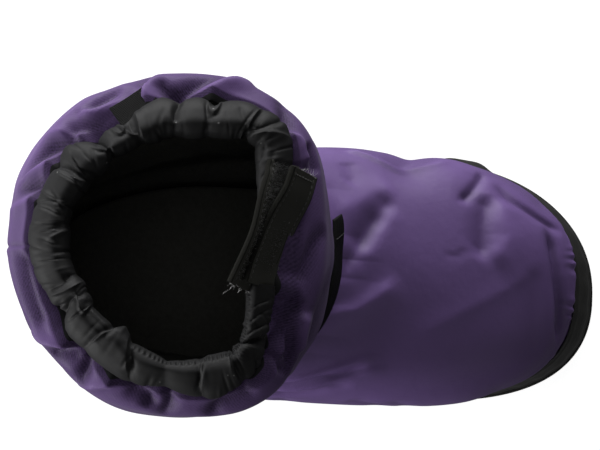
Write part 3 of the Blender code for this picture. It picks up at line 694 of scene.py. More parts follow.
def back_seam(angles):
    across = half_turn(angles - BACK_SEAM_ANGLE) * (SHAFT_RING.widest - SHAFT_RING.back)
    groove = -BACK_SEAM_DEPTH * bell(across, BACK_SEAM_WIDTH, 1.5)
    beside = across - SEAM_LIP_PLACE * BACK_SEAM_WIDTH
    lip = SEAM_LIP_HEIGHT * BACK_SEAM_DEPTH * bell(beside, SEAM_LIP_WIDTH * BACK_SEAM_WIDTH)
    return (groove + lip)[None, :]


def shoulder_roll(levels):
    """The roll of padding round the top of the shaft."""
    return SHOULDER_ROLL * bell(levels - SHOULDER_ROLL_LEVEL, SHOULDER_ROLL_WIDTH)[:, None]


def cloth_relief(angles, levels):
    """How far the cloth stands out from the smooth upper: folds, puckers, gathers and the back seam."""
    points = upper_points(angles, levels)
    relief = ankle_gathers(angles, levels) + shaft_waves(angles, levels) + unevenness(points)
    relief += back_seam(angles) + shoulder_roll(levels)
    for fold in FOOT_FOLDS:
        relief += fold_relief(fold, points, levels)
    gain = SHAFT_FOLD_GAIN * smooth_step((levels - SHAFT_FOLD_START) / SHAFT_FOLD_SPAN)[:, None]
    for fold in SHAFT_FOLDS:
        relief += (SHAFT_FOLD_LEAST + gain) * fold_relief(fold, points, levels)
    above_rand = smooth_step((levels - LEVEL["rand_top"]) / RELIEF_START_LEVELS)[:, None]
    return relief * above_rand + seam_puckers(angles, levels, points)


def dressed_upper(angles, levels):
    """The creased face of the upper and its relief."""
    relief = cloth_relief(angles, levels)
    return upper_offset(angles, levels, 0.0) + relief[..., None] * upper_normals(angles, levels), relief


def lowest_relief(angles, levels):
    """The lowest relief near each point of a coarse grid."""
    turn, rise = np.abs(np.diff(angles)).max() / 2, np.diff(levels).max() / 2
    nudges = [(a, b) for a in (-turn, 0.0, turn) for b in (-rise, 0.0, rise)]
    return np.min([cloth_relief(angles + a, np.clip(levels + b, 0, TOP_LEVEL)) for a, b in nudges], axis=0)


def inner_layer(angles, levels, *distances):
    """Layers inside the upper, at distances under the lowest parts of its creased face."""
    relief, smooth = lowest_relief(angles, levels), upper_offset(angles, levels, 0.0)
    normals = upper_normals(angles, levels)
    return [smooth + (relief - distance)[..., None] * normals for distance in distances]


# Meshes


def grid_quads(index, wrap):
    """Quads of a grid of point numbers; wrap joins its last column to its first."""
    if wrap:
        index = np.hstack([index, index[:, :1]])
    corners = (index[:-1, :-1], index[:-1, 1:], index[1:, 1:], index[1:, :-1])
    return np.stack([c.ravel() for c in corners], axis=-1)


def add_object(name, data):
    obj = bpy.data.objects.new(name, data)
    bpy.context.scene.collection.objects.link(obj)
    return obj


class Shape:
    """Points and quads of a piece, gathered grid by grid."""

    def __init__(self):
        self.points, self.quads, self.slots, self.uvs, self.folds = [], [], [], [], []
        self.count = 0

    def grid(self, points, wrap=False, slot=0, uv=None, fold=None):
        rows, columns, _ = points.shape
        index = np.arange(rows * columns).reshape(rows, columns) + self.count
        quads = grid_quads(index, wrap)
        self.points.append(points.reshape(-1, 3))
        self.quads.append(quads)
        self.slots.append(np.full(len(quads), slot))
        self.uvs.append(np.zeros((rows * columns, 2)) if uv is None else uv.reshape(-1, 2))
        self.folds.append(np.zeros(rows * columns) if fold is None else fold.ravel())
        self.count += rows * columns

    def build(self, name, materials, weld=True):
        """A mesh object in the frame, in metres, with its faces pointing out."""
        points = (np.concatenate(self.points) + BOOT_SHIFT) * MM
        quads = np.concatenate(self.quads)
        mesh = bpy.data.meshes.new(name)
        mesh.vertices.add(len(points))
        mesh.vertices.foreach_set("co", points.astype(np.float32).ravel())
        mesh.loops.add(quads.size)
        mesh.loops.foreach_set("vertex_index", quads.astype(np.int32).ravel())
        mesh.polygons.add(len(quads))
        mesh.polygons.foreach_set("loop_start", np.arange(0, quads.size, 4, dtype=np.int32))
        mesh.update(calc_edges=True)
        uv = np.concatenate(self.uvs)[quads.ravel()]
        mesh.uv_layers.new(name="cloth").data.foreach_set("uv", uv.astype(np.float32).ravel())
        fold = mesh.attributes.new("fold", "FLOAT", "POINT")
        fold.data.foreach_set("value", np.concatenate(self.folds).astype(np.float32))
        for finish in materials:
            mesh.materials.append(finish)
        mesh.polygons.foreach_set("material_index", np.concatenate(self.slots).astype(np.int32))
        if weld:
            weld_mesh(mesh)
        mesh.shade_smooth()
        return add_object(name, mesh)


def weld_mesh(mesh):
    """Joins the grids of a mesh along their shared edges and turns its faces outwards."""
    work = bmesh.new()
    work.from_mesh(mesh)
    bmesh.ops.remove_doubles(work, verts=work.verts, dist=WELD_DISTANCE * MM)
    bmesh.ops.dissolve_degenerate(work, edges=work.edges, dist=WELD_DISTANCE * MM)
    bmesh.ops.recalc_face_normals(work, faces=work.faces)
    work.to_mesh(mesh)
    work.free()


def dress(piece, slot, *nodes):
    """Makes a piece part of the boot, in place of the given solids."""
    if nodes:
        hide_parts(*nodes)
    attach(piece, "root")
    return piece


def arc_uv(points):
    """Places of a grid's points along its columns and rows, in millimetres of cloth."""
    across = np.linalg.norm(np.diff(points, axis=1), axis=-1).mean(axis=0)
    down = np.linalg.norm(np.diff(points, axis=0), axis=-1).mean(axis=1)
    u = np.concatenate([[0.0], np.cumsum(across)])
    v = np.concatenate([[0.0], np.cumsum(down)])
    return np.stack(np.broadcast_arrays(u[None, :], v[:, None]), axis=-1)


def close_wall(shape, outer, inner, wrap=False, slot=0, ends=True):
    """The inside of a wall and the strips round its edges; no ends where it comes round to its start."""
    shape.grid(inner, wrap, slot)
    for edge in (0, -1):
        shape.grid(np.stack([outer[edge], inner[edge]]), wrap, slot)
        if ends and not wrap:
            shape.grid(np.stack([outer[:, edge], inner[:, edge]]), False, slot)


def wall(shape, outer, inner, wrap=False):
    """A closed wall between two grids of the same columns."""
    shape.grid(outer, wrap, 0, arc_uv(outer))
    close_wall(shape, outer, inner, wrap)


def tubes(paths, radius, sides):
    """Round threads along paths of equal point counts, with thin closed ends."""
    paths = np.asarray(paths, float)
    along = np.gradient(paths, axis=1)
    along /= np.maximum(np.linalg.norm(along, axis=-1, keepdims=True), 1e-9)
    helper = np.where(np.abs(along[..., 2:3]) > STEEP_THREAD, np.array([1.0, 0, 0]), UP)
    first = unit(np.cross(along, helper))
    second = np.cross(along, first)
    turns = np.arange(sides) * 2 * math.pi / sides
    thick = np.full(paths.shape[1], 1.0)
    thick[[0, -1]] = THREAD_TAPER
    shape = Shape()
    for path, u, v in zip(paths, first, second):
        rings = [
            path + radius * thick[:, None] * (u * math.cos(turn) + v * math.sin(turn)) for turn in turns
        ]
        grid = np.stack(rings, axis=1)
        ends = np.repeat(path[[0, -1]][:, None, :], sides, axis=1)
        shape.grid(np.concatenate([ends[:1], grid, ends[1:]]), wrap=True)
    return shape


def stitch_paths(line, face, pitch, length, rise):
    """Short arched stitches along a line of points, standing on its face."""
    place = running_length(line)
    starts = np.arange(pitch / 2, place[-1] - length, pitch)
    share = np.linspace(0, 1, STITCH_POINTS)
    paths = []
    for start in starts:
        at = start + share * length
        points = np.stack([np.interp(at, place, axis) for axis in line.T], axis=-1)
        normal = np.stack([np.interp(at, place, axis) for axis in face.T], axis=-1)
        paths.append(points + normal * (rise * np.sin(math.pi * share) - STITCH_SINK)[:, None])
    return paths


# Materials

LINT_COLOUR = (0.1, 0.1, 0.1, 1.0)
# Fold relief at which the painted crease shade and the painted ridge highlight are full
FULL_FOLD_SHADE = 2.5
MIX_FACTOR, MIX_FIRST, MIX_SECOND, MIX_COLOUR = 0, 6, 7, 2


class Finish:
    """A Principled material and short ways to add the nodes of its texture."""

    def __init__(self, name, colour, roughness, **sockets):
        self.material = bpy.data.materials.new(name)
        self.material.use_nodes = True
        self.tree = self.material.node_tree
        self.shader = self.tree.nodes["Principled BSDF"]
        self.colour = (*colour, 1.0)
        self.shader.inputs["Base Color"].default_value = self.colour
        self.shader.inputs["Roughness"].default_value = roughness
        for socket, value in sockets.items():
            self.shader.inputs[socket.replace("_", " ")].default_value = value

    def node(self, kind, inputs=(), **settings):
        made = self.tree.nodes.new("ShaderNode" + kind)
        for key, value in settings.items():
            setattr(made, key, value)
        for key, value in dict(inputs).items():
            if isinstance(value, bpy.types.NodeSocket):
                self.tree.links.new(value, made.inputs[key])
            else:
                made.inputs[key].default_value = value
        return made

    def cloth_place(self):
        return self.node("UVMap", uv_map="cloth").outputs["UV"]

    def object_place(self):
        return self.node("TexCoord").outputs["Object"]

    def noise(self, place, scale, detail=3.0):
        inputs = {"Vector": place, "Scale": scale, "Detail": detail, "Roughness": 0.55}
        return self.node("TexNoise", inputs).outputs["Fac"]

    def weave(self, place, spacing, direction, distortion):
        """Ridges at the given spacing, in the units of the place."""
        across = math.sqrt(2) if direction == "DIAGONAL" else 1.0
        inputs = {
            "Vector": place,
            "Scale": 2 * math.pi / (10 * across * spacing),
            "Distortion": distortion,
            "Detail": 2.0,
            "Detail Scale": 1.5,
        }
        return self.node("TexWave", inputs, bands_direction=direction).outputs["Fac"]

    def fit(self, value, low, high, start=0.0, end=1.0):
        inputs = {"Value": value, "From Min": start, "From Max": end, "To Min": low, "To Max": high}
        return self.node("MapRange", inputs).outputs["Result"]

    def bump(self, height, distance, strength, below=None):
        """Relief of the given depth in metres, over another bump."""
        inputs = {"Height": height, "Distance": distance, "Strength": strength}
        if below is not None:
            inputs["Normal"] = below
        return self.node("Bump", inputs).outputs["Normal"]

    def blend(self, factor, first, second):
        inputs = {MIX_FACTOR: factor, MIX_FIRST: first, MIX_SECOND: second}
        return self.node("Mix", inputs, data_type="RGBA").outputs[MIX_COLOUR]

    def set(self, socket, value):
        self.tree.links.new(value, self.shader.inputs[socket])


def shade(colour, factor):
    return tuple(min(1.0, c * factor) for c in colour[:3]) + (1.0,)


def nylon(name, colour, twill):
    """Padded nylon: satin sheen, a fine twill or a smooth plain weave, with painted highlight on its ridges
    and painted shade in its creases.
    """
    gloss, sheen = (0.08, 0.05) if twill else (0.25, 0.0)
    finish = Finish(name, colour, 0.45, Specular_IOR_Level=gloss, Sheen_Weight=sheen)
    place, solid = finish.cloth_place(), finish.object_place()
    weave = finish.weave(place, 1.0, "DIAGONAL", 0.8) if twill else finish.noise(place, 2.4, 2.0)
    cross = finish.weave(place, 0.55, "X", 0.5)
    relief = finish.bump(weave, 0.00003, 0.7)
    relief = finish.bump(cross, 0.00005, 0.4, relief)
    relief = finish.bump(finish.noise(solid, 160.0, 4.0), 0.0006, 0.35, relief)
    finish.set("Normal", relief)
    # The fold relief paints the colour: painted shade in the creases and painted highlight on the ridges,
    # strongest on the twill
    fold = finish.node("Attribute", attribute_name="fold").outputs["Fac"]
    ridge_light_crease_shade = finish.fit(fold, 0.0, 1.0, -FULL_FOLD_SHADE, FULL_FOLD_SHADE)
    low, high = (0.15, 2.0) if twill else (0.7, 1.25)
    tint = finish.blend(ridge_light_crease_shade, shade(colour, low), shade(colour, high))
    if twill:
        grain = finish.fit(finish.noise(place, 1.3, 3.0), 0.0, 0.5, 0.35, 0.65)
        tint = finish.blend(grain, tint, shade(colour, 1.5))
        tint = finish.blend(finish.fit(weave, 0.0, 0.3), tint, shade(colour, 1.6))
    patches = finish.fit(finish.noise(solid, 45.0), 0.0, 0.35)
    finish.set("Base Color", finish.blend(patches, tint, shade(colour, 0.75)))
    finish.set("Roughness", finish.fit(finish.noise(solid, 70.0), 0.42, 0.56))
    return finish.material


def black_cloth(name, colour, roughness, spacing, depth, lint=0.0, **sockets):
    """Black cloth with a fine weave, faint uneven wear and specks of lint on a share of its spots."""
    finish = Finish(name, colour, roughness, **sockets)
    place, solid = finish.cloth_place(), finish.object_place()
    weave = finish.weave(place, spacing, "X", 0.4)
    cross = finish.weave(place, spacing, "Y", 0.4)
    relief = finish.bump(weave, depth, 0.6)
    relief = finish.bump(cross, depth, 0.6, relief)
    relief = finish.bump(finish.noise(solid, 220.0, 4.0), 0.0004, 0.3, relief)
    finish.set("Normal", relief)
    tint = finish.blend(finish.fit(weave, 0.0, 0.5), finish.colour, shade(colour, 1.7))
    tint = finish.blend(finish.fit(finish.noise(solid, 60.0), 0.0, 0.6), tint, shade(colour, 0.55))
    if lint:
        spots = finish.node("TexVoronoi", {"Vector": solid, "Scale": 420.0})
        chosen = finish.node("SeparateColor", {"Color": spots.outputs["Color"]}).outputs["Red"]
        chosen = finish.fit(chosen, 0.0, 1.0, 1 - lint, 1.001 - lint)
        speck = finish.fit(spots.outputs["Distance"], 1.0, 0.0, 0.12, 0.2)
        speck = finish.node("Math", {0: speck, 1: chosen}, operation="MULTIPLY")
        tint = finish.blend(speck.outputs["Value"], tint, LINT_COLOUR)
    finish.set("Base Color", tint)
    finish.set("Roughness", finish.fit(finish.noise(solid, 90.0), roughness - 0.07, roughness + 0.07))
    return finish.material


def fleece(name, colour):
    finish = Finish(name, colour, 0.95, Specular_IOR_Level=0.1)
    solid = finish.object_place()
    relief = finish.bump(finish.noise(solid, 900.0, 3.0), 0.0008, 0.8)
    finish.set("Normal", finish.bump(finish.noise(solid, 240.0, 3.0), 0.0015, 0.6, relief))
    finish.set("Base Color", finish.blend(finish.noise(solid, 500.0), shade(colour, 0.8), shade(colour, 1.2)))
    return finish.material


def coated(name, colour, roughness, grain_scale, grain_depth, gloss=0.15):
    """Coated cloth or rubber with a fine irregular grain."""
    finish = Finish(name, colour, roughness, Specular_IOR_Level=gloss)
    solid = finish.object_place()
    cells = finish.node("TexVoronoi", {"Vector": solid, "Scale": grain_scale}).outputs["Distance"]
    relief = finish.bump(cells, grain_depth, 0.5)
    finish.set("Normal", finish.bump(finish.noise(solid, 300.0, 4.0), 0.0003, 0.4, relief))
    dusty = finish.fit(finish.noise(solid, 120.0, 5.0), 0.0, 0.5, 0.35, 0.8)
    finish.set("Base Color", finish.blend(dusty, finish.colour, shade(colour, 2.2)))
    finish.set("Roughness", finish.fit(finish.noise(solid, 150.0), roughness - 0.08, roughness + 0.1))
    return finish.material


def thread(name, colour):
    finish = Finish(name, colour, 0.7, Sheen_Weight=0.3)
    solid = finish.object_place()
    finish.set("Base Color", finish.blend(finish.noise(solid, 700.0), shade(colour, 0.7), shade(colour, 1.2)))
    return finish.material


PURPLE = (0.118, 0.0705, 0.202)
NYLON_FOOT = nylon("purple_nylon_foot", PURPLE, twill=False)
# Darker than the foot's purple: partly the shaft's own twill cloth, partly painted shade that offsets the
# stronger light on the shaft
SHAFT_PURPLE = (0.062, 0.0375, 0.101)
NYLON_SHAFT = nylon("purple_nylon_shaft", SHAFT_PURPLE, twill=True)
CASING = black_cloth(
    "black_casing_cloth", (0.0105, 0.0105, 0.011), 0.62, 0.4, 0.00001, 0.06, Specular_IOR_Level=0.14
)
TAPE = black_cloth("black_tape", (0.036, 0.036, 0.032), 0.8, 0.8, 0.00012, 0.1, Specular_IOR_Level=0.08)
TAPE_EDGE = black_cloth("black_tape_edge", (0.009, 0.009, 0.008), 0.9, 0.8, 0.00012, Specular_IOR_Level=0.03)
WEBBING = black_cloth("black_webbing", (0.006, 0.006, 0.006), 0.7, 1.3, 0.00025, Specular_IOR_Level=0.08)
LINING = fleece("black_lining", (0.13, 0.13, 0.12))
INSOLE = fleece("black_fleece", (0.11, 0.11, 0.1))
RAND = coated("black_coated", (0.009, 0.009, 0.0085), 0.45, 700.0, 0.00012, 0.35)
RUBBER = coated("black_rubber", (0.01, 0.01, 0.0095), 0.6, 420.0, 0.00018)
BLACK_THREAD = thread("black_thread", (0.03, 0.03, 0.03))
LINT = thread("pale_lint", (0.3, 0.3, 0.3))


# Pieces


def make_upper():
    """The padded shell: two creased cloths that meet at the ankle, a black backing and a turned-in edge
    painted dark as shade under the casing.
    """
    angles = back_to_back(ring_angles(UPPER_COLUMNS, UPPER_RINGS[LEVEL["puff"]], UPPER_SIDE_STRETCH))
    levels = np.interp(np.arange(UPPER_ROWS), *np.transpose(ROW_MARKS))
    outer, relief = dressed_upper(angles, levels)
    lip = collar_lip(angles, outer[-1])
    outer = np.concatenate([outer, lip])
    # Fold values for the painted crease shade: the relief without the shoulder roll, and the lip painted dark
    # as shade under the casing
    relief = np.concatenate([relief - shoulder_roll(levels), np.full(lip.shape[:2], LIP_SHADE)])
    backing_levels = np.linspace(0, TOP_LEVEL, BACKING_ROWS)
    backing, = inner_layer(angles, backing_levels, SHELL)
    backing = np.concatenate([backing, lip[-1:] - (0.0, 0.0, SHELL)])
    shape = Shape()
    split = int(np.searchsorted(levels, LEVEL["ankle"]))
    turned_in = len(outer) - LIP_ROWS // 2
    # The inner half of the turned-in edge takes the black cloth, a painted shade under the casing
    for slot, rows in enumerate((slice(0, split + 1), slice(split, turned_in), slice(turned_in - 1, None))):
        shape.grid(outer[rows], False, slot, arc_uv(outer[rows]), relief[rows])
    close_wall(shape, outer, backing, slot=2, ends=False)
    piece = dress(shape.build("upper_shell", [NYLON_FOOT, NYLON_SHAFT, CASING]), "purple_nylon", "upper")


def collar_seam():
    """Angles along the casing and the points there on the middle of the shaft's top edge."""
    angles = np.radians(np.linspace(*CASING_ENDS, FINE_STEPS))
    return angles, upper_offset(angles, [TOP_LEVEL], -WALL / 2)[0]


def collar_lip(angles, edge):
    """Rows of the shell's edge, turned in under the casing."""
    fine, path = collar_seam()
    outer, _ = casing_edges(CASING_START + running_length(path))
    turn = np.mod(angles, 2 * math.pi)
    turn = np.where(turn < fine[0], turn + 2 * math.pi, turn)
    loop = np.append(fine, fine[0] + 2 * math.pi)
    reach = LIP_REACH + np.interp(turn, loop, np.append(outer, outer[0]))
    inward = unit(-upper_normals(angles, np.array([float(TOP_LEVEL)]))[0] * (1.0, 1.0, 0.0))
    share = np.linspace(0, 1, LIP_ROWS + 1)[1:, None, None]
    depth = share * reach[None, :, None]
    from_front = np.degrees(half_turn(angles)) - FRONT_FLAP_ANGLE
    flap = FRONT_FLAP * smooth_step(share / FRONT_FLAP_SLOPE)
    flap = flap * bell(from_front, FRONT_FLAP_WIDTH, 4)[None, :, None]
    rise = LIP_SLOPE * depth - LIP_FALL * depth**2
    return edge[None] + inward[None] * depth + UP * (rise + flap)


def make_lining():
    angles = ring_angles(LINING_COLUMNS, UPPER_RINGS[LEVEL["puff"]])
    levels = np.linspace(0, TOP_LEVEL, LINING_ROWS)
    shape = Shape()
    wall(shape, *inner_layer(angles, levels, SHELL + GAP, WALL), wrap=True)
    dress(shape.build("lining", [LINING]), "black_fleece")


def make_rand():
    angles = back_to_back(ring_angles(UPPER_COLUMNS, FOOT_RING))
    levels = np.linspace(0, LEVEL["rand_top"], RAND_ROWS)
    inner = upper_offset(angles, levels[::RAND_INNER_STEP], GAP)
    outer = upper_offset(angles, levels, GAP + RAND_THICKNESS)
    outer = outer + rand_relief(angles, levels)[..., None] * upper_normals(angles, levels)
    shape = Shape()
    shape.grid(outer, False, 0, arc_uv(outer))
    close_wall(shape, outer, inner, ends=False)
    dress(shape.build("rand_band", [RAND]), "black_coated", "rand")


def rand_relief(angles, levels):
    """A rolled top edge, a soft crease along the middle and slight waves."""
    share = levels / LEVEL["rand_top"]
    profile = sum(height * bell(share - place, width) for height, place, width in RAND_PROFILE)
    waves = RAND_WAVE_HEIGHT * np.sin(RAND_WAVES * angles + 1.2 * np.sin(7 * angles))
    bulge = RAND_BULGE * bell(np.degrees(angles) - RAND_BULGE_ANGLE, RAND_BULGE_WIDTH, 4)
    return profile[:, None] + (waves + bulge)[None, :] * np.sin(math.pi * share)[:, None]


def sole_loops(profile, offset, columns, floor=0.0):
    """Outlines of the foot, moved outwards, then drawn in and raised by the steps of a profile."""
    outline = ring_outline(FOOT_RING, ring_angles(columns, FOOT_RING))
    loops = []
    for drawn_in, height in profile:
        loop = plan_offset(outline, offset - drawn_in)
        loop[:, 2] = sole_lift(loop[:, 0]) + floor + height
        loops.append(loop)
    return loops


def plate_grid(outline, across, height):
    """A grid of points that fills an outline from its tip to its back, at the given height over the plan."""
    half = len(outline) // 2
    lateral = outline[: half + 1, :2]
    medial = outline[-np.arange(half + 1), :2]
    share = np.linspace(0, 1, across + 1)[None, :, None]
    plan = lateral[:, None, :] * (1 - share) + medial[:, None, :] * share
    return np.concatenate([plan, height(plan)[..., None]], axis=-1)


def make_outsole():
    """The sole unit with rounded steps, a slightly hollow wall and a fine tread underneath."""
    corners = [(corner.inset, corner.height * SOLE_THICKNESS) for corner in SOLE_SIDE]
    profile = rounded_profile(corners, SOLE_ROUNDING)
    loops = sole_loops(profile, GAP + RAND_THICKNESS + SOLE_LEDGE, SOLE_COLUMNS)
    for i, (_, height) in enumerate(profile):
        if SOLE_HOLLOW_FROM < height < SOLE_HOLLOW_TO:
            loops[i] = plan_offset(loops[i], -SOLE_HOLLOW)
    shape = Shape()
    shape.grid(np.array(loops), True)
    shape.grid(plate_grid(loops[0], SOLE_TOP_ROWS, lambda plan: sole_lift(plan[..., 0]) + SOLE_THICKNESS))
    shape.grid(plate_grid(loops[-1], TREAD_ROWS, sole_tread))
    dress(shape.build("outsole_unit", [RUBBER]), "black_rubber", "outsole")


def sole_tread(plan):
    """Underside of the sole: wavy grooves across it, cut up into the rubber."""
    x, y = plan[..., 0], plan[..., 1]
    wave = np.sin(2 * math.pi * (x + TREAD_SWAY * np.sin(y / TREAD_SWAY_LENGTH)) / TREAD_PITCH)
    groove = TREAD_DEPTH * smooth_step((wave - TREAD_CUT) / TREAD_CUT_SLOPE)
    inside = (TREAD_HALF_WIDTH - np.abs(y - TREAD_MIDDLE), x - TREAD_ENDS[0], TREAD_ENDS[1] - x)
    return sole_lift(x) + groove * np.prod([smooth_step(gap / TREAD_FADE) for gap in inside], axis=0)


def rounded_profile(corners, radius):
    """A profile through corners, each cut by a short arc."""
    corners = np.array(corners, float)
    points = [corners[0]]
    for before, corner, after in zip(corners, corners[1:], corners[2:]):
        ways = [(end - corner) / np.linalg.norm(end - corner) for end in (before, after)]
        start, end = corner + radius * ways[0], corner + radius * ways[1]
        for t in np.linspace(0, 1, CORNER_POINTS):
            points.append((1 - t) ** 2 * start + 2 * t * (1 - t) * corner + t * t * end)
    return np.array([*points, corners[-1]])


def make_insole():
    floor = SOLE_THICKNESS + GAP
    corners = [(INSOLE_BEVEL, INSOLE_THICKNESS), (0, INSOLE_THICKNESS - INSOLE_BEVEL_HEIGHT), (0, 0)]
    profile = rounded_profile(corners, INSOLE_ROUNDING)
    loops = sole_loops(profile, -WALL - INSOLE_CLEARANCE, INSOLE_COLUMNS, floor)
    shape = Shape()
    shape.grid(np.array(loops), True)

    def footbed(plan):
        x, y = plan[..., 0], plan[..., 1]
        dish = HEEL_DISH * bell(x - HEEL_DISH_X, HEEL_DISH_LENGTH) * bell(y, HEEL_DISH_WIDTH)
        return sole_lift(x) + floor + INSOLE_THICKNESS - dish

    shape.grid(plate_grid(loops[0], INSOLE_TOP_ROWS, footbed))
    shape.grid(plate_grid(loops[-1], INSOLE_UNDERSIDE_ROWS, lambda plan: sole_lift(plan[..., 0]) + floor))
    dress(shape.build("insole_sock", [INSOLE]), "black_fleece", "insole")


def level_outward(path):
    """Level direction to the right of a path, at each of its points."""
    along = np.gradient(path, axis=0)
    return unit(np.stack([along[:, 1], -along[:, 0], np.zeros(len(path))], axis=-1))


def casing_edges(places):
    """Insets of the casing's outer and inner edge at places along it."""
    fine = np.linspace(*CASING_EDGES[[0, -1], 0], FINE_STEPS)
    window = np.hanning(EDGE_ROUNDING)
    edges = []
    for column in CASING_EDGES.T[1:]:
        padded = np.pad(np.interp(fine, CASING_EDGES[:, 0], column), EDGE_ROUNDING // 2, mode="edge")
        edges.append(np.interp(places, fine, np.convolve(padded, window / window.sum(), "valid")))
    return edges


def lap_profile(gap, right, lap):
    """Height of a lap's cloth beside its edge: a drop and a hollow on the right, a slow rise on the left."""
    drop = LAP_EDGE * bell(gap, lap.sharp, LAP_EDGE_SHARPNESS)
    drop -= LAP_HOLLOW * bell(gap, LAP_HOLLOW_WIDTH * lap.sharp)
    return np.where(right, drop, bell(gap, lap.slow, LAP_RISE_SHARPNESS))


def casing_relief(place, share, rng):
    """Draw-ins, laps, small wrinkles and the stitched inner edge of the casing's cloth."""
    place, share = np.broadcast_arrays(place[None, :], share[:, None])
    relief = np.zeros(place.shape)
    for pleat in PLEATS:
        line = pleat.outer + (pleat.inner - pleat.outer) * share
        relief -= pleat.depth * bell(place - line, pleat.width, FOLD_SHARPNESS)
    points = np.stack([place, CASING_WIDTH * share], axis=-1)
    for lap in CASING_LAPS:
        line = smooth_path(np.array(lap.line) * (1.0, CASING_WIDTH), FOLD_STEPS)
        near = near_path(points, line, FOLD_REACH * max(lap.slow, lap.sharp))
        gap, run, right = distance_to_path(points[near], line)
        ends = smooth_step(run / FOLD_FADE) * smooth_step((1 - run) / FOLD_FADE)
        full = LAP_END_SHARE + (1 - LAP_END_SHARE) * ends
        relief[near] += lap.height * lap_profile(gap, right, lap) * full
    for _ in range(CASING_WRINKLES):
        at, middle = rng.uniform(*CASING_EDGES[[0, -1], 0]), rng.choice(WRINKLE_SHARES)
        slant = rng.normal(0, WRINKLE_SLANT)
        width, length, height = (
            rng.uniform(*limits) for limits in (WRINKLE_WIDTHS, WRINKLE_LENGTHS, WRINKLE_HEIGHTS)
        )
        near = np.abs(place[0] - at) < WRINKLE_REACH
        across = share[:, near] - middle
        fold = bell(place[:, near] - at - slant * across, width) * bell(across, length)
        relief[:, near] += height * fold
    sewn = smooth_step((place - CASING_STITCH_START) / CASING_STITCH_FADE)
    sewn = sewn * bell(share - CASING_STITCH_SHARE, CASING_STITCH_WIDTH)
    ruffle = np.sin(2 * math.pi * place / CASING_STITCH_PITCH + 2.0 * np.sin(place / 3.1))
    return relief + sewn * (RUFFLE_HEIGHT * ruffle - RUFFLE_DEPTH)


def make_casing(rng):
    """The gathered casing: a tent of cloth along the collar seam, drawn together in lapped pleats."""
    _, path = collar_seam()
    seam = np.stack([evenly_along(path, axis, CASING_STATIONS) for axis in path.T], axis=-1)
    place, outward = CASING_START + running_length(seam), level_outward(seam)
    outer, inner = casing_edges(place)
    width = inner - outer
    section = smooth_path(CASING_SECTION, CASING_ROWS)
    slope = unit(np.gradient(section * (CASING_WIDTH, 1.0), axis=0))
    start, linear, square = CASING_FOOT
    foot = start + linear * outer + square * outer**2
    tall = np.sqrt(width / CASING_WIDTH)
    relief = casing_relief(place, section[:, 0], rng) * np.minimum(1, width / CASING_FULL_WIDTH)
    rows = []
    for (share, height), (run, climb), bulge in zip(section, slope, relief):
        inset = outer + share * width
        point = seam - outward * inset[:, None] + UP * (foot + tall * height)[:, None]
        rows.append(point + (outward * climb + UP * run) * bulge[:, None])
    under = [
        rows[-1] * (1 - t) + rows[0] * t + UP * (CASING_UNDERSIDE_RISE * math.sin(math.pi * t))
        for t in np.linspace(0, 1, CASING_UNDERSIDE_ROWS)[1:]
    ]
    grid = np.array(rows + under)
    caps = np.repeat(grid.mean(axis=0, keepdims=True)[:, [0, -1]], len(grid), axis=0)
    grid = np.concatenate([caps[:, :1], grid, caps[:, 1:]], axis=1)
    shape = Shape()
    shape.grid(grid, False, 0, arc_uv(grid))
    piece = dress(shape.build("gathered_casing", [CASING]), "black_casing", "collar_casing")


def tab_frame(stations):
    """Middle line of a tab, with its directions across it and out of its face."""
    rows = smooth_path(stations, TAB_SAMPLES)
    centre, lean = rows[:, :3], np.radians(rows[:, 3:])
    outward = level_outward(centre)
    outward *= np.sign(outward[:, :1])  # both tabs face the toe, whichever way they run
    across = -outward * np.sin(lean) + UP * np.cos(lean)
    face = outward * np.cos(lean) + UP * np.sin(lean)
    return centre, across, face


def tab_end(stations):
    """End of a tab's middle line, and its directions there: onward, across it and out of its face."""
    centre, across, face = tab_frame(stations)
    return centre[-1], unit(centre[-1] - centre[-3]), across[-1], face[-1]


def tab_face(share, bound):
    """Height of a tab's face over its middle at a share of its width: rounded edges, bindings and grooves."""
    place = share * TAB_WIDTH
    edge = TAB_WIDTH / 2 - np.abs(place)
    height = TAB_THICKNESS / 2 * np.sqrt(np.clip(edge / TAB_EDGE_ROUNDING, 0, 1))
    groove = -TAB_GROOVE * bell(edge - TAB_BINDING, TAB_GROOVE_WIDTH)
    inner, outer = TAB_BINDING_SLOPES
    binding = TAB_BINDING_RISE * smooth_step((TAB_BINDING - edge) / inner) * smooth_step(edge / outer)
    return height + (groove + binding if bound else 0.0)


def make_tab(name, node, stations):
    """A sewn tape with bound edges, darker on its edges and its back."""
    centre, across, face = tab_frame(stations)
    shares = 0.5 * np.sin(np.linspace(-math.pi / 2, math.pi / 2, TAB_SIDES))
    run = np.linspace(0, 1, TAB_SAMPLES)
    wave = TAB_WAVE * np.sin(run * TAB_WAVE_RATE + 1.0) * bell(run, TAB_WAVE_REACH)

    def side(way):
        heights = [way * tab_face(share, way > 0) + wave for share in shares]
        lines = [centre + across * TAB_WIDTH * share for share in shares]
        return np.array([line + face * height[:, None] for line, height in zip(lines, heights)])

    outer, inner = side(1), side(-1)
    shape, cloth = Shape(), arc_uv(outer)
    first, last = TAB_EDGE_ROWS, TAB_SIDES - TAB_EDGE_ROWS
    for slot, rows in ((1, slice(0, first + 1)), (0, slice(first, last)), (1, slice(last - 1, None))):
        shape.grid(outer[rows], False, slot, cloth[rows])
    close_wall(shape, outer, inner, slot=1)
    dress(shape.build(name, [TAPE, TAPE_EDGE]), "black_webbing", node)


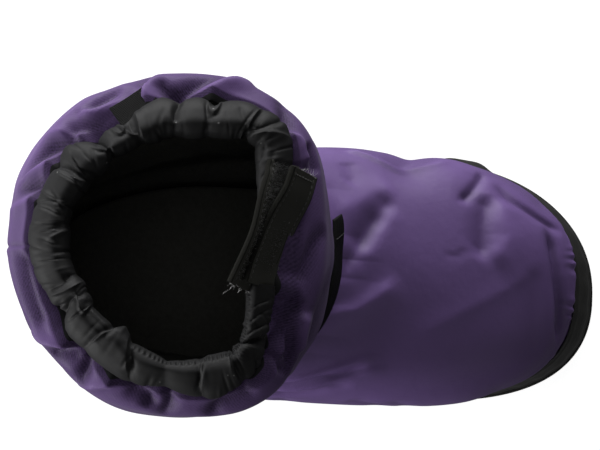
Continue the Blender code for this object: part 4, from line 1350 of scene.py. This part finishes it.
def make_tab_stitches(name, stations):
    """Lines of stitches beside a tab's bound edges and across its free end."""
    centre, across, face = tab_frame(stations)
    paths = []
    for side in (-1, 1):
        share = side * (0.5 - TAB_BINDING / TAB_WIDTH)
        line = centre + across * TAB_WIDTH * share + face * tab_face(share, True)
        paths += stitch_paths(line, face, *TAB_STITCH)
    end = int(TAB_END_SEAM * TAB_SAMPLES)
    shares = np.linspace(-TAB_FIELD, TAB_FIELD, TAB_END_SEAM_POINTS)[:, None]
    line = centre[end] + across[end] * TAB_WIDTH * shares + face[end] * TAB_THICKNESS / 2
    paths += stitch_paths(line, np.repeat(face[end][None], len(line), axis=0), *TAB_STITCH)
    dress(tubes(paths, TAB_THREAD, THREAD_SIDES).build(name, [BLACK_THREAD]), "black_webbing")


def make_strap():
    """The webbing between its two edges, with a hem at its free end."""
    edges_out, edges_in = [], []
    for level, free_end, lifted in zip(STRAP_LEVELS, STRAP_FREE_ENDS, STRAP_LIFT_SHARES):
        turn = np.linspace(free_end, STRAP_BACK_END, STRAP_COLUMNS)
        stand_off = STRAP_STAND_OFF * bell(turn - STRAP_STAND_OFF_ANGLE, STRAP_STAND_OFF_WIDTH, 4)
        stand_off += STRAP_END_LIFT * smooth_step((turn - STRAP_LIFT_START) / STRAP_LIFT_SPAN)
        angles, level = np.radians(turn), np.array([level])
        lift = upper_normals(angles, level)[0] * (lifted * stand_off)[:, None]
        edges_out.append(upper_offset(angles, level, GAP + STRAP_THICKNESS)[0] + lift)
        edges_in.append(upper_offset(angles, level, GAP)[0] + lift)
    edges_out, edges_in = np.array(edges_out), np.array(edges_in)
    shares = (1 + np.sin(np.linspace(-math.pi / 2, math.pi / 2, STRAP_ROWS))) / 2
    thick = unit(edges_out - edges_in)
    outer, inner = [], []
    for share in shares:
        rib = STRAP_RIB_HEIGHT * math.sin(share * STRAP_RIBS * math.pi) ** 2
        rib -= STRAP_EDGE_DROP * (1 - math.sqrt(min(1, STRAP_EDGE_STEEPNESS * share * (1 - share))))
        normal = thick[0] * (1 - share) + thick[1] * share
        outer.append(edges_out[0] * (1 - share) + edges_out[1] * share + normal * rib)
        inner.append(edges_in[0] * (1 - share) + edges_in[1] * share)
    outer, inner = np.array(outer), np.array(inner)
    shape = Shape()
    wall(shape, outer, inner)
    dress(shape.build("strap_webbing", [WEBBING]), "black_webbing", "ankle_strap")
    hem = outer[:, STRAP_HEM_COLUMN]
    face = thick.mean(axis=0)[STRAP_HEM_COLUMN][None].repeat(len(hem), axis=0)
    stitches = stitch_paths(hem, face, *STRAP_STITCH)
    threads = tubes(stitches, STRAP_THREAD, THREAD_SIDES)
    dress(threads.build("strap_stitches", [BLACK_THREAD]), "black_webbing")


def make_label():
    """A blank woven label, folded double, its cut edges held in the collar seam."""
    along, inward = np.linspace(0, 1, LABEL_COLUMNS), np.linspace(0, 1, LABEL_ROWS)
    first, last = (upper_place(*place) for place in LABEL_EDGE)
    run = unit(last - first)
    towards = unit(np.array([-run[1], run[0], 0.0])) * math.cos(LABEL_SLOPE) + UP * math.sin(LABEL_SLOPE)
    out = np.cross(run, towards)
    out = out * np.sign(out[2])
    bow = LABEL_BOW * (2 * along[None, :] - 1) ** 2 * (1 - inward[:, None])
    base = first + (last - first) * along[None, :, None] + towards * LABEL_DEPTH * inward[:, None, None]
    inner = base + out * bow[..., None] + (0.0, 0.0, LABEL_LIFT)
    outer = inner + out * LABEL_THICKNESS
    shape = Shape()
    wall(shape, outer, inner)
    dress(shape.build("blank_label", [WEBBING]), "black_webbing", "side_label")


def make_pile(rng):
    """Looped pile on the face of the inner tab."""
    centre, across, face = tab_frame(LOOP_TAB)
    station = rng.uniform(*PILE_ENDS, PILE_LOOPS).astype(int)
    share = rng.uniform(-TAB_FIELD, TAB_FIELD, PILE_LOOPS)
    centre, across, face = centre[station], across[station], face[station]
    root = centre + across * (TAB_WIDTH * share)[:, None] + face * TAB_THICKNESS / 2
    lean = rng.normal(0, PILE_LEAN, (PILE_LOOPS, 3))
    steps = np.linspace(0, 1, PILE_POINTS)[None, :, None]
    curl = rng.normal(0, PILE_CURL, (PILE_LOOPS, 1, 3)) * steps**2
    rise = face[:, None, :] * (PILE_HEIGHT * steps) + lean[:, None, :] * steps * PILE_LEAN_REACH + curl
    pile = tubes(root[:, None, :] + rise, PILE_THREAD, PILE_SIDES)
    dress(pile.build("loop_pile", [BLACK_THREAD], False), "black_webbing")


def make_frayed_ends(rng):
    """Pale fibres at the cut end of the outer tab and a loose thread at the end of the inner one."""
    paths, steps = [], np.linspace(0, 1, FIBRE_POINTS)[:, None]
    for fray in FRAYS:
        end, onward, across, face = tab_end(fray.stations)
        for _ in range(fray.fibres):
            root = end + across * rng.uniform(*fray.across) * TAB_WIDTH + face * rng.uniform(*fray.through)
            reach = onward * rng.uniform(*fray.onward) + rng.normal(0, FIBRE_SPREAD, 3)
            if fray.outward:
                reach += face * rng.uniform(*fray.outward)
            paths.append(root + reach * steps + rng.normal(0, fray.curl, 3) * steps**2)
    loose_end = end + across * LOOSE_ACROSS * TAB_WIDTH + face * LOOSE_HEIGHT
    curl = np.sin(LOOSE_TURN * steps) * (LOOSE_CURL, 0.0, 0.0)
    paths.append(loose_end + onward * LOOSE_LENGTH * steps + curl)
    fibres = tubes(paths, FIBRE_THREAD, FIBRE_SIDES)
    dress(fibres.build("frayed_fibres", [LINT], False), "black_webbing")


def make_floor():
    """A plain white floor that glows and gives the boot no light."""
    corners = [(x * FLOOR_SIZE, y * FLOOR_SIZE, 0) for x, y in ((-1, -1), (1, -1), (1, 1), (-1, 1))]
    mesh = bpy.data.meshes.new("floor")
    mesh.from_pydata(corners, [], [(0, 1, 2, 3)])
    floor = add_object("floor", mesh)
    grey, white = (0.25, 0.25, 0.25), (1.0, 1.0, 1.0, 1.0)
    finish = Finish(
        "pale_floor", grey, 0.9, Specular_IOR_Level=0.0, Emission_Color=white, Emission_Strength=FLOOR_GLOW
    )
    patches = finish.noise(finish.object_place(), 6.0)
    finish.set("Base Color", finish.blend(patches, shade(grey, 0.96), shade(grey, 1.04)))
    mesh.materials.append(finish.material)
    floor.visible_diffuse = False
    floor.visible_glossy = False


# Light and camera


def make_lights():
    world = bpy.data.worlds.new("studio")
    world.use_nodes = True
    world.node_tree.nodes["Background"].inputs["Color"].default_value = (1.0, 1.0, 1.0, 1.0)
    world.node_tree.nodes["Background"].inputs["Strength"].default_value = WORLD_STRENGTH
    bpy.context.scene.world = world
    for box in SOFT_BOXES:
        data = bpy.data.lights.new(box.name, "AREA")
        data.shape = "RECTANGLE"
        data.size, data.size_y = box.size
        data.energy = box.energy
        light = add_object(box.name, data)
        light.location = box.place
        light.rotation_euler = (-light.location).to_track_quat("-Z", "Y").to_euler()


def make_camera():
    right = np.array([math.cos(CAMERA_ROLL), -math.sin(CAMERA_ROLL), 0.0])
    level_up = np.array([math.sin(CAMERA_ROLL), math.cos(CAMERA_ROLL), 0.0])
    up = math.cos(CAMERA_TILT) * level_up + math.sin(CAMERA_TILT) * UP
    forward = math.sin(CAMERA_TILT) * level_up - math.cos(CAMERA_TILT) * UP
    data = bpy.data.cameras.new("camera")
    data.sensor_fit, data.sensor_width = "HORIZONTAL", SENSOR_WIDTH
    data.lens = SENSOR_WIDTH * CAMERA_FOCAL_PIXELS / IMAGE_WIDTH
    camera = add_object("camera", data)
    turn = [(*row, 0.0) for row in np.stack([right, up, -forward], axis=1)]
    matrix = Matrix([*turn, (0.0, 0.0, 0.0, 1.0)])
    matrix.translation = (CAMERA_PLACE + BOOT_SHIFT) * MM
    camera.matrix_world = matrix
    bpy.context.scene.camera = camera


rng = np.random.default_rng(SEED)
make_camera()
make_lights()
make_floor()
make_outsole()
make_insole()
make_upper()
make_lining()
make_rand()
make_casing(rng)
make_tab("hook_tape", "hook_tab", HOOK_TAB)
make_tab("loop_tape", "loop_tab", LOOP_TAB)
make_tab_stitches("hook_stitches", HOOK_TAB)
make_tab_stitches("loop_stitches", LOOP_TAB)
make_strap()
make_label()
make_pile(rng)
make_frayed_ends(rng)

bpy.context.scene.view_settings.view_transform = "Standard"
